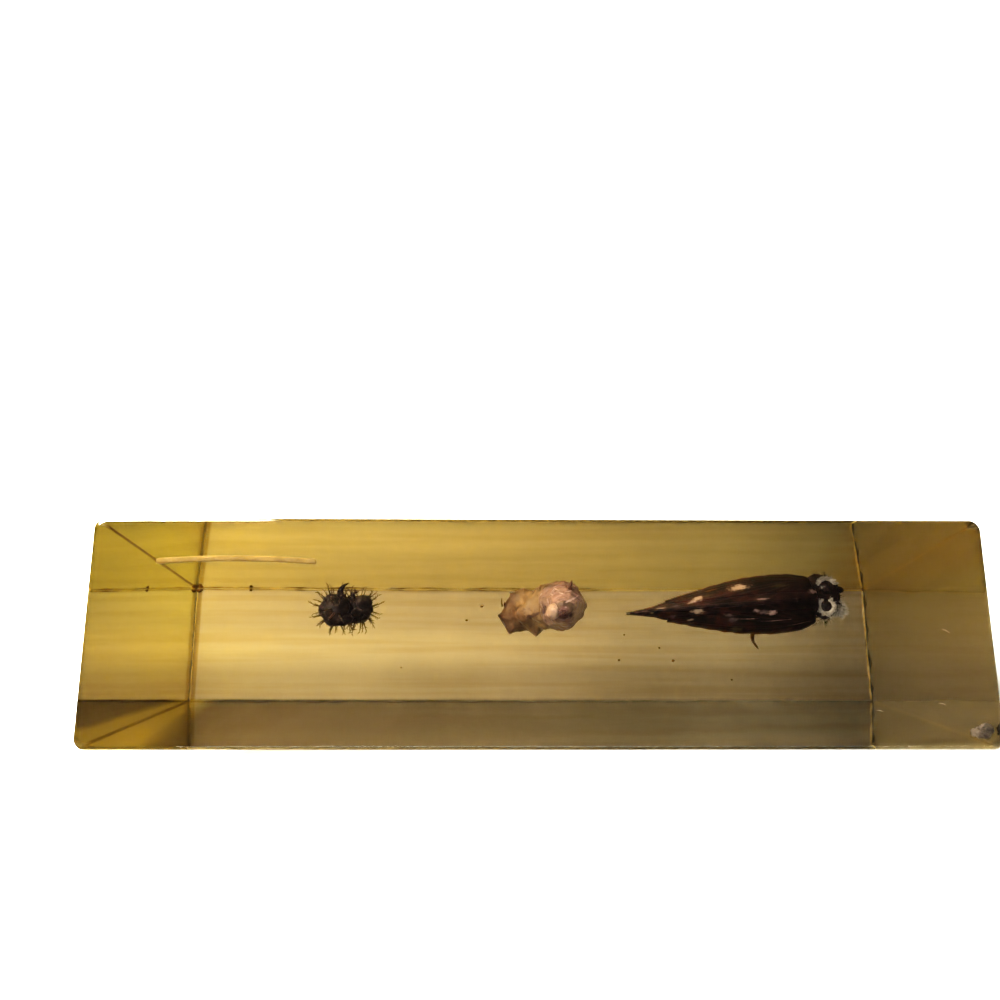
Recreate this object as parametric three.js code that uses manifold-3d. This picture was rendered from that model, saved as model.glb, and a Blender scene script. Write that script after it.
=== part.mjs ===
// A butterfly's life cycle cast in a clear resin bar: a curled spiny larva, a chrysalis,
// a butterfly with its wings folded over its back, and a thin pale strip.
// Millimetres, +Z up, origin at the centre of the bar's bottom face, long side along X.

import * as THREE from 'three';
import { mergeVertices } from 'three/addons/utils/BufferGeometryUtils.js';
import Module from 'manifold-3d';

const wasm = await Module();
wasm.setup();

// The bar: its top face is the larger one, and its walls lean in towards the bottom face.
const blockLength = 130;
const blockWidth = 33;
const blockHeight = 44;
const wallDraftDegrees = 9;
const wallCornerRadius = 1.6;
const rimBevel = 0.8;
const pourLevel = 33.5;

// The sealed things.
const larvaBodyRadius = 2.45;
const larvaHeadRadius = 1.75;
const spineLength = 1.9;
const spineRadius = 0.24;
const chrysalisLength = 14.8;
const chrysalisRadius = 3.6;
const butterflyTurnDegrees = 4.6;
const wingSheetThickness = 0.4;
const stripLength = 24.1;
const stripWidth = 1.0;
const stripHeight = 0.8;
const stripBow = 0.45;
const pocketClearance = 0.8;

const wallLean = Math.tan(THREE.MathUtils.degToRad(wallDraftDegrees));

function vec(x, y, z) {
  return new THREE.Vector3(x, y, z);
}

// Closed skin through rings of equal count that run anticlockwise about the way they follow.
function loft(rings) {
  const count = rings[0].length;
  const points = rings.flat();
  const faces = [];
  for (let level = 0; level + 1 < rings.length; level += 1) {
    for (let index = 0; index < count; index += 1) {
      const next = (index + 1) % count;
      const a = level * count + index;
      const b = level * count + next;
      const c = a + count;
      const d = b + count;
      faces.push([a, b, d], [a, d, c]);
    }
  }
  return { points, faces, count };
}

function toGeometry(points, faces) {
  const geometry = new THREE.BufferGeometry();
  const coordinates = new Float32Array(points.flatMap((point) => point.toArray()));
  geometry.setAttribute('position', new THREE.BufferAttribute(coordinates, 3));
  geometry.setIndex(faces.flat());
  return geometry;
}

// A loft closed at both ends by fans about the middle of the end rings.
function capped(rings) {
  const { points, faces, count } = loft(rings);
  const ends = [rings[0], rings[rings.length - 1]];
  const offsets = [0, points.length - count];
  ends.forEach((ring, end) => {
    const middle = ring.reduce((sum, point) => sum.add(point), vec(0, 0, 0)).divideScalar(count);
    points.push(middle);
    for (let index = 0; index < count; index += 1) {
      const a = offsets[end] + index;
      const b = offsets[end] + (index + 1) % count;
      faces.push(end === 0 ? [points.length - 1, b, a] : [points.length - 1, a, b]);
    }
  });
  return toGeometry(points, faces);
}

// Rings of elliptic section along a path; radii are [across, towards the reference direction].
function sweep(path, radii, sides, reference) {
  const rings = path.map((centre, index) => {
    const before = path[Math.max(index - 1, 0)];
    const after = path[Math.min(index + 1, path.length - 1)];
    const along = after.clone().sub(before).normalize();
    const up = reference.clone().addScaledVector(along, -reference.dot(along)).normalize();
    const across = up.clone().cross(along);
    const ring = [];
    for (let side = 0; side < sides; side += 1) {
      const angle = (2 * Math.PI * side) / sides;
      const point = centre.clone();
      point.addScaledVector(across, radii[index][0] * Math.cos(angle));
      point.addScaledVector(up, radii[index][1] * Math.sin(angle));
      ring.push(point);
    }
    return ring;
  });
  return capped(rings);
}

function toSolid(geometry) {
  const bare = geometry.clone();
  bare.deleteAttribute('normal');
  bare.deleteAttribute('uv');
  const merged = mergeVertices(bare, 1e-5);
  const vertProperties = new Float32Array(merged.getAttribute('position').array);
  const triVerts = new Uint32Array(merged.getIndex().array);
  return new wasm.Manifold(new wasm.Mesh({ numProp: 3, vertProperties, triVerts }));
}

function fromSolid(solid) {
  const mesh = solid.getMesh();
  const geometry = new THREE.BufferGeometry();
  geometry.setAttribute('position', new THREE.BufferAttribute(mesh.vertProperties, 3));
  geometry.setIndex(new THREE.BufferAttribute(mesh.triVerts, 1));
  return geometry;
}

function joined(geometries) {
  return geometries.map(toSolid).reduce((whole, next) => whole.add(next));
}

function ellipsoid(centre, size, columns, rows) {
  const geometry = new THREE.SphereGeometry(1, columns, rows);
  geometry.rotateX(Math.PI / 2);
  geometry.scale(size.x, size.y, size.z);
  geometry.translate(centre.x, centre.y, centre.z);
  return geometry;
}

// A pointed spine from a base point along a direction.
function spine(base, direction, length, radius, sides) {
  const geometry = new THREE.ConeGeometry(radius, length, sides);
  geometry.translate(0, length / 2, 0);
  const turn = new THREE.Quaternion().setFromUnitVectors(vec(0, 1, 0), direction.clone().normalize());
  geometry.applyQuaternion(turn);
  geometry.translate(base.x, base.y, base.z);
  return geometry;
}

function spineBetween(base, tip, radius, sides) {
  const reach = tip.clone().sub(base);
  return spine(base, reach, reach.length(), radius, sides);
}

// A thin leg or feeler through a few points, with a radius at each end.
function limb(points, startRadius, endRadius, steps, sides) {
  const curve = new THREE.CatmullRomCurve3(points);
  const path = curve.getPoints(steps);
  const radii = path.map((point, index) => {
    const radius = startRadius + ((endRadius - startRadius) * index) / steps;
    return [radius, radius];
  });
  return sweep(path, radii, sides, vec(0.3, 1, 0.2).normalize());
}

// Rectangle with round corners, anticlockwise seen from above.
function roundedRing(centre, halfLength, halfWidth, cornerRadius, z, cornerSteps) {
  const ring = [];
  const corners = [[1, -1, -0.5], [1, 1, 0], [-1, 1, 0.5], [-1, -1, 1]];
  corners.forEach(([signX, signY, start]) => {
    for (let step = 0; step <= cornerSteps; step += 1) {
      const angle = Math.PI * (start + (0.5 * step) / cornerSteps);
      const x = signX * (halfLength - cornerRadius) + cornerRadius * Math.cos(angle);
      const y = signY * (halfWidth - cornerRadius) + cornerRadius * Math.sin(angle);
      ring.push(vec(centre.x + x, centre.y + y, z));
    }
  });
  return ring;
}

// One ring of the bar's outer wall at a height, drawn in by an inset.
function wallRing(z, inset) {
  const drawnIn = (blockHeight - z) * wallLean + inset;
  const halfLength = blockLength / 2 - drawnIn;
  const halfWidth = blockWidth / 2 - drawnIn;
  return roundedRing(vec(0, 0, 0), halfLength, halfWidth, wallCornerRadius, z, 4);
}

// A pocket with bevelled top and bottom, from a low level to a high one.
function pocket(low, high, cornerRadius) {
  const centre = low.clone().add(high).multiplyScalar(0.5);
  const halfLength = (high.x - low.x) / 2;
  const halfWidth = (high.y - low.y) / 2;
  const bevel = Math.min(cornerRadius, (high.z - low.z) / 3) * 0.6;
  const levels = [[low.z, bevel], [low.z + bevel, 0], [high.z - bevel, 0], [high.z, bevel]];
  const rings = levels.map(([z, inset]) => {
    const radius = Math.max(cornerRadius - inset, 0.3);
    return roundedRing(centre, halfLength - inset, halfWidth - inset, radius, z, 3);
  });
  return toSolid(capped(rings));
}

// ---- larva: a hook of rounded segments, the head at the end of its shorter limb ----

const larvaCurve = new THREE.CatmullRomCurve3([
  vec(-29.9, 3.5, 35.2),
  vec(-30.6, 3.7, 32.6),
  vec(-30.6, 3.9, 29.6),
  vec(-29.2, 4.0, 27.2),
  vec(-27.7, 4.1, 28.4),
  vec(-27.1, 4.0, 31.2),
  vec(-26.9, 4.0, 33.0),
]);
const segmentCount = 11;

function makeLarva() {
  const pieces = [];
  for (let index = 0; index < segmentCount; index += 1) {
    const share = index / (segmentCount - 1);
    const centre = larvaCurve.getPointAt(share);
    const along = larvaCurve.getTangentAt(share);
    const tail = Math.min(1, 0.72 + index * 0.14);
    const radius = THREE.MathUtils.lerp(larvaBodyRadius, larvaHeadRadius, share) * tail;
    const segment = new THREE.SphereGeometry(1, 10, 6);
    segment.scale(radius, radius * 0.7, radius);
    segment.applyQuaternion(new THREE.Quaternion().setFromUnitVectors(vec(0, 1, 0), along));
    segment.translate(centre.x, centre.y, centre.z);
    pieces.push(segment);

    const side = vec(0, 1, 0).cross(along).normalize();
    const back = along.clone().cross(side).normalize();
    const spineCount = 6;
    for (let spoke = 0; spoke < spineCount; spoke += 1) {
      const angle = (2 * Math.PI * (spoke + 0.5 * (index % 2))) / spineCount + 0.3;
      const outward = side.clone().multiplyScalar(Math.cos(angle));
      outward.addScaledVector(back, Math.sin(angle));
      outward.addScaledVector(along, index === 0 ? -0.9 : -0.15).normalize();
      const facesOtherLimb = Math.abs(outward.y) < 0.45 && outward.x * (centre.x + 29.1) < 0;
      if (!facesOtherLimb) {
        const base = centre.clone().addScaledVector(outward, radius * 0.75);
        const reach = radius * 0.25 + (spineLength * radius) / 2.2;
        pieces.push(spine(base, outward, reach, spineRadius, 4));
      }
    }
  }
  // Head: two cheeks and a brow at the end of the shorter limb.
  pieces.push(ellipsoid(vec(-26.4, 4.9, 33.9), vec(1.35, 1.3, 1.3), 10, 6));
  pieces.push(ellipsoid(vec(-26.0, 3.7, 33.7), vec(1.1, 1.15, 1.2), 8, 6));
  // The claw-shaped horn near the tail and a small hook beside it.
  const horn = [
    vec(-29.6, 5.2, 34.4),
    vec(-29.7, 6.3, 34.7),
    vec(-29.3, 7.1, 34.8),
    vec(-28.5, 7.6, 34.8),
  ];
  pieces.push(limb(horn, 0.75, 0.06, 7, 6));
  const hook = [vec(-27.9, 5.0, 33.4), vec(-27.8, 6.0, 33.8), vec(-27.1, 6.4, 33.9)];
  pieces.push(limb(hook, 0.5, 0.06, 4, 5));
  return joined(pieces);
}

// ---- chrysalis: ringed abdomen on top, angular wing cases below it to the left ----

function makeChrysalis() {
  const curve = new THREE.CatmullRomCurve3([
    vec(3.5, 4.1, 36.3),
    vec(3.7, 4.4, 34.5),
    vec(3.6, 4.5, 32.4),
    vec(2.3, 4.4, 30.4),
    vec(-0.3, 4.0, 28.8),
    vec(-3.0, 3.5, 27.8),
    vec(-5.2, 3.2, 27.2),
  ]);
  const steps = 30;
  const path = [];
  const radii = [];
  for (let step = 0; step <= steps; step += 1) {
    const share = step / steps;
    path.push(curve.getPointAt(share));
    const distance = share * chrysalisLength;
    const abdomen = Math.min(1, Math.sqrt(Math.max(distance, 0.05) / 4.4));
    const head = Math.min(1, Math.pow((chrysalisLength - distance + 0.35) / 4.6, 0.6));
    const ringed = distance < 6.5 ? 0.05 * Math.cos((2 * Math.PI * distance) / 1.3) : 0;
    const waist = 0.07 * Math.exp(-Math.pow((distance - 7.2) / 1.2, 2));
    const radius = chrysalisRadius * abdomen * head * (1 + ringed - waist);
    radii.push([radius, radius * 1.02]);
  }
  const pieces = [sweep(path, radii, 14, vec(0.3, 1, 0.1).normalize())];
  // Pointed corners: head horns, wing case corners and side spikes.
  const corners = [
    [vec(-3.6, 3.3, 27.8), vec(-6.2, 3.2, 27.6), 1.5],
    [vec(-2.9, 2.7, 27.9), vec(-4.2, 0.4, 27.2), 1.7],
    [vec(-0.6, 2.6, 28.8), vec(-0.2, -0.1, 28.5), 1.7],
    [vec(-3.2, 4.6, 28.0), vec(-4.6, 6.7, 27.8), 1.6],
    [vec(-1.2, 5.0, 28.8), vec(-2.2, 7.8, 28.6), 1.7],
    [vec(1.5, 5.2, 30.4), vec(0.9, 8.1, 30.4), 1.3],
    [vec(4.6, 6.4, 33.6), vec(5.2, 8.1, 34.0), 0.5],
  ];
  corners.forEach(([base, tip, radius]) => pieces.push(spineBetween(base, tip, radius, 6)));
  // The stalk that it hung from.
  pieces.push(spineBetween(vec(3.5, 4.1, 35.6), vec(3.4, 4.0, 37.4), 0.5, 6));
  // A pale round bead of dried fluid beside the abdomen.
  pieces.push(ellipsoid(vec(2.2, 3.5, 35.0), vec(0.85, 0.85, 0.85), 10, 6));
  return joined(pieces);
}

// ---- butterfly: own frame, X from wing tip to head, Z up from the body's axis ----

// Station along the body: [x, top of the folded wings, lower margin, half width].
const wingStations = [
  [0.0, 4.8, 4.3, 0.14],
  [2.1, 5.4, 3.8, 0.42],
  [4.2, 5.9, 3.0, 0.75],
  [6.7, 6.2, 2.2, 1.45],
  [9.1, 6.3, 1.4, 2.05],
  [11.4, 6.3, 0.7, 2.6],
  [13.8, 6.1, 0.2, 3.15],
  [16.2, 5.9, -0.3, 3.65],
  [18.6, 5.6, -0.6, 4.0],
  [21.0, 5.2, -0.8, 4.2],
  [23.4, 4.8, -0.9, 4.3],
  [25.7, 4.2, -0.8, 4.2],
  [28.1, 3.5, -0.4, 3.8],
  [29.9, 2.6, 0.1, 2.5],
];
const wingRows = 7;

function makeWings() {
  const rings = wingStations.map(([x, top, low, halfWidth]) => {
    const thickness = Math.min(wingSheetThickness, halfWidth * 0.5);
    const ridgeDepth = Math.min(1.8, (top - low) * 0.4);
    const outer = [];
    const inner = [];
    for (let row = 0; row <= 2 * wingRows; row += 1) {
      const rise = 1 - Math.abs(row - wingRows) / wingRows;
      const side = row < wingRows ? 1 : -1;
      const spread = halfWidth * (1 - Math.pow(rise, 1.5));
      outer.push(vec(x, side * spread, low + (top - low) * rise));
      const innerSpread = Math.max(spread - thickness, spread * 0.15);
      inner.push(vec(x, side * innerSpread, low + (top - ridgeDepth - low) * rise));
    }
    return outer.concat(inner.reverse());
  });
  const { points, faces, count } = loft(rings);
  const half = count / 2;
  [0, rings.length - 1].forEach((end) => {
    const offset = end * count;
    for (let index = 0; index + 1 < half; index += 1) {
      const a = offset + index;
      const b = offset + index + 1;
      const c = offset + count - 2 - index;
      const d = offset + count - 1 - index;
      if (end === 0) {
        faces.push([a, c, b], [a, d, c]);
      } else {
        faces.push([a, b, c], [a, c, d]);
      }
    }
  });
  return toGeometry(points, faces);
}

function makeButterfly() {
  const pieces = [makeWings()];
  pieces.push(ellipsoid(vec(27.9, 0, 0.3), vec(4.6, 3.15, 2.8), 14, 8));
  pieces.push(ellipsoid(vec(32.0, 0.6, 0.1), vec(1.9, 2.4, 1.7), 12, 6));
  pieces.push(ellipsoid(vec(31.4, 2.65, 0.4), vec(1.45, 1.4, 1.5), 10, 6));
  pieces.push(ellipsoid(vec(31.2, -1.35, 0.4), vec(1.45, 1.4, 1.5), 10, 6));
  pieces.push(spineBetween(vec(32.8, 1.0, -0.3), vec(34.3, 0.9, -0.3), 0.6, 6));
  pieces.push(ellipsoid(vec(33.1, -1.6, -0.3), vec(1.25, 0.8, 0.75), 8, 6));
  // Ringed abdomen under the wings.
  const abdomenPath = [];
  const abdomenRadii = [];
  const abdomenSteps = 14;
  for (let step = 0; step <= abdomenSteps; step += 1) {
    const share = step / abdomenSteps;
    abdomenPath.push(vec(26 - 13.5 * share, 0, 0.2 + 0.9 * share * share));
    const ringed = 1 + 0.05 * Math.cos(7 * Math.PI * 2 * share);
    const radius = 1.9 * ringed * Math.sqrt(Math.max(1.02 - share * share, 0.02));
    abdomenRadii.push([radius, radius]);
  }
  pieces.push(sweep(abdomenPath, abdomenRadii, 8, vec(0, 0, 1)));
  // Three legs a side; the hind leg on the near side reaches out past the wing's edge.
  [1, -1].forEach((side) => {
    const front = [vec(30.0, side, -1.6), vec(31.2, side * 1.9, -3.0), vec(29.6, side * 1.5, -4.2)];
    pieces.push(limb(front, 0.38, 0.16, 6, 5));
    const middle = [vec(28.3, side, -1.8), vec(27.4, side * 2.4, -3.2), vec(25.8, side * 1.9, -4.4)];
    pieces.push(limb(middle, 0.38, 0.16, 6, 5));
    const feeler = [
      vec(33.0, side * 0.8, 0.8),
      vec(33.9, side * 1.5, -1.4),
      vec(31.4, side * 2.3, -3.6),
      vec(26.4, side * 2.5, -4.2),
      vec(23.6, side * 2.4, -3.9),
    ];
    pieces.push(limb(feeler, 0.16, 0.2, 10, 4));
    pieces.push(ellipsoid(vec(23.8, side * 2.4, -3.9), vec(0.95, 0.38, 0.38), 6, 4));
  });
  const nearHind = [
    vec(26.6, -1.2, -1.6),
    vec(23.4, -2.7, -3.2),
    vec(20.2, -3.8, -2.6),
    vec(19.6, -5.2, -1.8),
    vec(20.1, -6.6, -1.4),
  ];
  pieces.push(limb(nearHind, 0.43, 0.14, 10, 5));
  const farHind = [vec(26.4, 0.9, -1.8), vec(23.4, 2.2, -3.4), vec(21.0, 1.8, -3.2)];
  pieces.push(limb(farHind, 0.38, 0.14, 6, 5));
  return joined(pieces);
}

// ---- pale strip: a thin square sliver, bowed towards the back wall ----

function makeStrip() {
  const steps = 12;
  const outline = [];
  for (let step = 0; step <= steps; step += 1) {
    const share = (2 * step) / steps - 1;
    outline.push(new THREE.Vector2((share * stripLength) / 2, stripBow * (1 - share * share)));
  }
  const shape = new THREE.Shape();
  outline.forEach((point, index) => {
    if (index === 0) {
      shape.moveTo(point.x, point.y - stripWidth / 2);
    } else {
      shape.lineTo(point.x, point.y - stripWidth / 2);
    }
  });
  outline.reverse().forEach((point) => shape.lineTo(point.x, point.y + stripWidth / 2));
  shape.closePath();
  const geometry = new THREE.ExtrudeGeometry(shape, { depth: stripHeight, bevelEnabled: false });
  return toSolid(geometry);
}

// ---- placing and materials ----

const butterflyPlace = vec(12.95, 3.05, 31);
const stripPlace = vec(-45.7, 10.95, pourLevel - stripHeight / 2);

const resinLook = { color: 0xe2bd5a, roughness: 0.08, metalness: 0, transparent: true, opacity: 0.4 };

function namedMesh(name, solid, look) {
  const mesh = new THREE.Mesh(fromSolid(solid), new THREE.MeshStandardMaterial(look));
  mesh.name = name;
  return mesh;
}

const larvaSolid = makeLarva();
const chrysalisSolid = makeChrysalis();
const butterflySolid = makeButterfly();
const stripSolid = makeStrip();

// Pockets: rounded boxes about each sealed thing, opened by the level between the two pours.
function pocketAbout(solid, place, turn, cornerRadius) {
  const box = new THREE.Box3();
  const geometry = fromSolid(solid);
  const matrix = new THREE.Matrix4().makeRotationZ(turn).setPosition(place);
  geometry.applyMatrix4(matrix);
  box.setFromBufferAttribute(geometry.getAttribute('position'));
  box.expandByScalar(pocketClearance);
  return pocket(box.min, box.max, cornerRadius);
}

const butterflyTurn = THREE.MathUtils.degToRad(butterflyTurnDegrees);
const pockets = [
  pocketAbout(larvaSolid, vec(0, 0, 0), 0, 1.2),
  pocketAbout(chrysalisSolid, vec(0, 0, 0), 0, 1.2),
  pocketAbout(butterflySolid, butterflyPlace, butterflyTurn, 1.2),
  pocketAbout(stripSolid, stripPlace, 0, 0.5),
].reduce((whole, next) => whole.add(next));

const lowerRings = [wallRing(0, rimBevel), wallRing(rimBevel * 0.3, rimBevel * 0.3)];
lowerRings.push(wallRing(rimBevel, 0), wallRing(pourLevel, 0));
const resinLower = toSolid(capped(lowerRings)).subtract(pockets);

const rimLow = blockHeight - rimBevel;
const upperRings = [wallRing(pourLevel, 0), wallRing(rimLow, 0)];
upperRings.push(wallRing(blockHeight - rimBevel * 0.3, rimBevel * 0.3), wallRing(blockHeight, rimBevel));
const resinUpper = toSolid(capped(upperRings)).subtract(pockets);

const block = new THREE.Group();
block.add(namedMesh('resin_lower', resinLower, resinLook));
block.add(namedMesh('resin_upper', resinUpper, resinLook));
block.add(namedMesh('larva', larvaSolid, { color: 0x1e1210, roughness: 0.6, metalness: 0 }));
block.add(namedMesh('chrysalis', chrysalisSolid, { color: 0x7d4f2c, roughness: 0.45, metalness: 0 }));

const butterfly = namedMesh('butterfly', butterflySolid, { color: 0x1f1110, roughness: 0.6, metalness: 0 });
butterfly.position.copy(butterflyPlace);
butterfly.rotation.z = butterflyTurn;
block.add(butterfly);

const strip = namedMesh('pale_strip', stripSolid, { color: 0xd8c08a, roughness: 0.5, metalness: 0 });
strip.position.copy(stripPlace);
block.add(strip);

export default block;
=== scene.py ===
import math
import random
import bpy
from mathutils import Matrix, Vector, noise


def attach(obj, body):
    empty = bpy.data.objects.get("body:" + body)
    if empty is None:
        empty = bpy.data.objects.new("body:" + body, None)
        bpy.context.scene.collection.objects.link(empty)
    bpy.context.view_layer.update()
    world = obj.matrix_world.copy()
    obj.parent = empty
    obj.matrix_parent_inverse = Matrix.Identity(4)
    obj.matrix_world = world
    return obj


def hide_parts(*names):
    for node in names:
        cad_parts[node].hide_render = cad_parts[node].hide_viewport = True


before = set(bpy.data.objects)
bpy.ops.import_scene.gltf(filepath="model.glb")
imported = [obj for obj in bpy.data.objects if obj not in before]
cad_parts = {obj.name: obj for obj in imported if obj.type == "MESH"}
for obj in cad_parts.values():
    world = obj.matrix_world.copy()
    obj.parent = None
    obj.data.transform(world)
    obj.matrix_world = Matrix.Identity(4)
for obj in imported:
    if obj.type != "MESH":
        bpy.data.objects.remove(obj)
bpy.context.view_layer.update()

mm = 0.001               # every size below is in millimetres times this


# camera

viewCamera = {
    "place": (-8.3093, -10.5550, 175.0187), "lens": 32.9821, "sensor": 36.0,
    "across": (0.9998412, 0.0000958, 0.0178216),
    "down": (0.0040243, -0.9753716, -0.2205311),
    "ahead": (0.0173616, 0.2205678, -0.9752171),
}


def setCamera(spec):
    across, down, ahead = (Vector(spec[word]) for word in ("across", "down", "ahead"))
    place = Vector(spec["place"]) * mm
    camera = bpy.data.cameras.new("viewCamera")
    camera.sensor_width = spec["sensor"]
    camera.lens = spec["lens"]
    camera.clip_start = 0.002
    item = bpy.data.objects.new("viewCamera", camera)
    bpy.context.scene.collection.objects.link(item)
    item.matrix_world = Matrix((
        (across.x, -down.x, -ahead.x, place.x),
        (across.y, -down.y, -ahead.y, place.y),
        (across.z, -down.z, -ahead.z, place.z),
        (0, 0, 0, 1)))
    bpy.context.scene.camera = item


setCamera(viewCamera)
print("camera set")


# mesh helpers

def makeObject(name, points, faces, smooth=True, uvs=None):
    mesh = bpy.data.meshes.new(name)
    mesh.from_pydata([tuple(Vector(point) * mm) for point in points], [], faces)
    if uvs is not None:
        layer = mesh.uv_layers.new(name="surface")
        for face, corners in zip(mesh.polygons, uvs):
            for loop, corner in zip(face.loop_indices, corners):
                layer.data[loop].uv = corner
    for face in mesh.polygons:
        face.use_smooth = smooth
    item = bpy.data.objects.new(name, mesh)
    bpy.context.scene.collection.objects.link(item)
    return item


def smoothPath(points, steps):
    # evenly spaced points on a curve through the given ones
    fine = []
    knots = [Vector(point) for point in points]
    knots = [knots[0] * 2 - knots[1]] + knots + [knots[-1] * 2 - knots[-2]]
    for index in range(1, len(knots) - 2):
        a, b, c, d = knots[index - 1:index + 3]
        for part in range(40):
            t = part / 40
            fine.append(0.5 * ((2 * b) + (c - a) * t + (2 * a - 5 * b + 4 * c - d) * t * t
                               + (3 * b - a - 3 * c + d) * t * t * t))
    fine.append(knots[-2])
    lengths = [0.0]
    for a, b in zip(fine, fine[1:]):
        lengths.append(lengths[-1] + (b - a).length)
    result, seek = [], 0
    for step in range(steps + 1):
        want = lengths[-1] * step / steps
        while seek < len(lengths) - 2 and lengths[seek + 1] < want:
            seek += 1
        gap = lengths[seek + 1] - lengths[seek]
        result.append(fine[seek].lerp(fine[seek + 1], (want - lengths[seek]) / gap if gap else 0))
    return result, lengths[-1]


def pathRings(path, radiusAt, sides, reference):
    # rings about a path; radiusAt(step share, angle) gives the radius there
    rings = []
    for index, centre in enumerate(path):
        along = (path[min(index + 1, len(path) - 1)] - path[max(index - 1, 0)]).normalized()
        up = (reference - along * reference.dot(along)).normalized()
        across = up.cross(along)
        ring = []
        for side in range(sides):
            angle = 2 * math.pi * side / sides
            outward = across * math.cos(angle) + up * math.sin(angle)
            ring.append(centre + outward * radiusAt(index / (len(path) - 1), angle))
        rings.append(ring)
    return rings


def loftFaces(rings):
    # closed skin through rings, with fans at both ends, and its surface coordinates
    count, last = len(rings[0]), len(rings) - 1
    points = [point for ring in rings for point in ring]
    faces, uvs = [], []
    for level in range(last):
        for index in range(count):
            a, b = level * count + index, level * count + (index + 1) % count
            faces.append((a, b, b + count, a + count))
            low, high, left, right = level / last, (level + 1) / last, index / count, (index + 1) / count
            uvs.append(((low, left), (low, right), (high, right), (high, left)))
    for offset, level in ((0, 0), (last * count, last)):
        points.append(sum((point for point in rings[level]), Vector()) / count)
        for index in range(count):
            a, b = offset + index, offset + (index + 1) % count
            faces.append((len(points) - 1, b, a) if level == 0 else (len(points) - 1, a, b))
            uvs.append(((level / last, index / count),) * 3)
    return points, faces, uvs


def joinSkins(skins):
    points, faces, uvs = [], [], []
    for morePoints, moreFaces, moreUvs in skins:
        shift = len(points)
        points += morePoints
        faces += [tuple(index + shift for index in face) for face in moreFaces]
        uvs += moreUvs
    return points, faces, uvs


def blobSkin(centre, size, rows=14, columns=20, rough=0.0, seed=0.0):
    # closed rounded lump, slightly uneven
    rings = []
    for row in range(rows + 1):
        tilt = math.pi * (0.02 + 0.96 * row / rows) - math.pi / 2
        ring = []
        for column in range(columns):
            turn = 2 * math.pi * column / columns
            way = Vector((math.cos(tilt) * math.cos(turn), math.cos(tilt) * math.sin(turn), math.sin(tilt)))
            swell = 1 + rough * noise.noise(way * 2.1 + Vector((seed, 3.7, 1.9)))
            ring.append(Vector(centre) + Vector((way.x * size[0], way.y * size[1], way.z * size[2])) * swell)
        rings.append(ring)
    return loftFaces(rings)


def noiseVector(point):
    # three noises that differ from each other and are the same in every run
    return Vector([noise.noise(point + Vector((shift, 2 * shift, -shift))) for shift in (0.0, 17.3, 41.9)])


def tubeSkin(points, radii, sides=8, steps=24, rough=0.0):
    # thin limb whose radius follows the given list
    path, _ = smoothPath(points, steps)

    def radiusAt(share, angle):
        place = share * (len(radii) - 1)
        low = min(int(place), len(radii) - 2)
        radius = radii[low] + (radii[low + 1] - radii[low]) * (place - low)
        return radius * (1 + rough * noise.noise(Vector((share * 9, angle * 0.8, radii[0] * 40))))

    return loftFaces(pathRings(path, radiusAt, sides, Vector((0.3, 1, 0.2)).normalized()))


def finishPiece(item, slotName, *nodes):
    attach(item, "root")
    if nodes:
        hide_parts(*nodes)


def addPiece(name, skin, material, slotName, *nodes, mapped=False):
    points, faces, uvs = skin
    item = makeObject(name, points, faces, uvs=uvs if mapped else None)
    item.data.materials.append(material)
    finishPiece(item, slotName, *nodes)


# shared shader helpers

def addNode(tree, kind, inputs=None, **settings):
    # settings come first, because some of them change which sockets there are
    node = tree.nodes.new(kind)
    for key, value in settings.items():
        setattr(node, key, value)
    for key, value in (inputs or {}).items():
        if isinstance(value, bpy.types.NodeSocket):
            tree.links.new(value, node.inputs[key])
        else:
            node.inputs[key].default_value = value
    return node


def addMath(tree, operation, *values):
    return addNode(tree, "ShaderNodeMath", dict(enumerate(values)), operation=operation).outputs[0]


def addVector(tree, operation, *values):
    return addNode(tree, "ShaderNodeVectorMath", dict(enumerate(values)), operation=operation).outputs[0]


def addRange(tree, value, fromMin, fromMax, toMin=0.0, toMax=1.0, **settings):
    inputs = {"Value": value, "From Min": fromMin, "From Max": fromMax, "To Min": toMin, "To Max": toMax}
    return addNode(tree, "ShaderNodeMapRange", inputs, **settings).outputs[0]


def addSpan(tree, value, ends, *levels):
    # a range between two places given in millimetres
    return addRange(tree, value, ends[0] * mm, ends[1] * mm, *levels)


def mixColour(tree, factor, a, b):
    a, b = (value if isinstance(value, bpy.types.NodeSocket) else (*value, 1) for value in (a, b))
    return addNode(tree, "ShaderNodeMix", {0: factor, 6: a, 7: b}, data_type="RGBA").outputs[2]


def tintBy(tree, factor, colour, tint):
    # the colour times the tint, as far as the mask lets it
    return addVector(tree, "MULTIPLY", colour, mixColour(tree, factor, (1.0, 1.0, 1.0), tint))


def newGroup(name, inputs, outputs):
    tree = bpy.data.node_groups.new(name, "ShaderNodeTree")
    for socketName, kind, value in inputs:
        socket = tree.interface.new_socket(socketName, in_out="INPUT", socket_type="NodeSocket" + kind)
        socket.default_value = value
    for socketName, kind in outputs:
        tree.interface.new_socket(socketName, in_out="OUTPUT", socket_type="NodeSocket" + kind)
    return tree, tree.nodes.new("NodeGroupInput"), tree.nodes.new("NodeGroupOutput")


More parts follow.
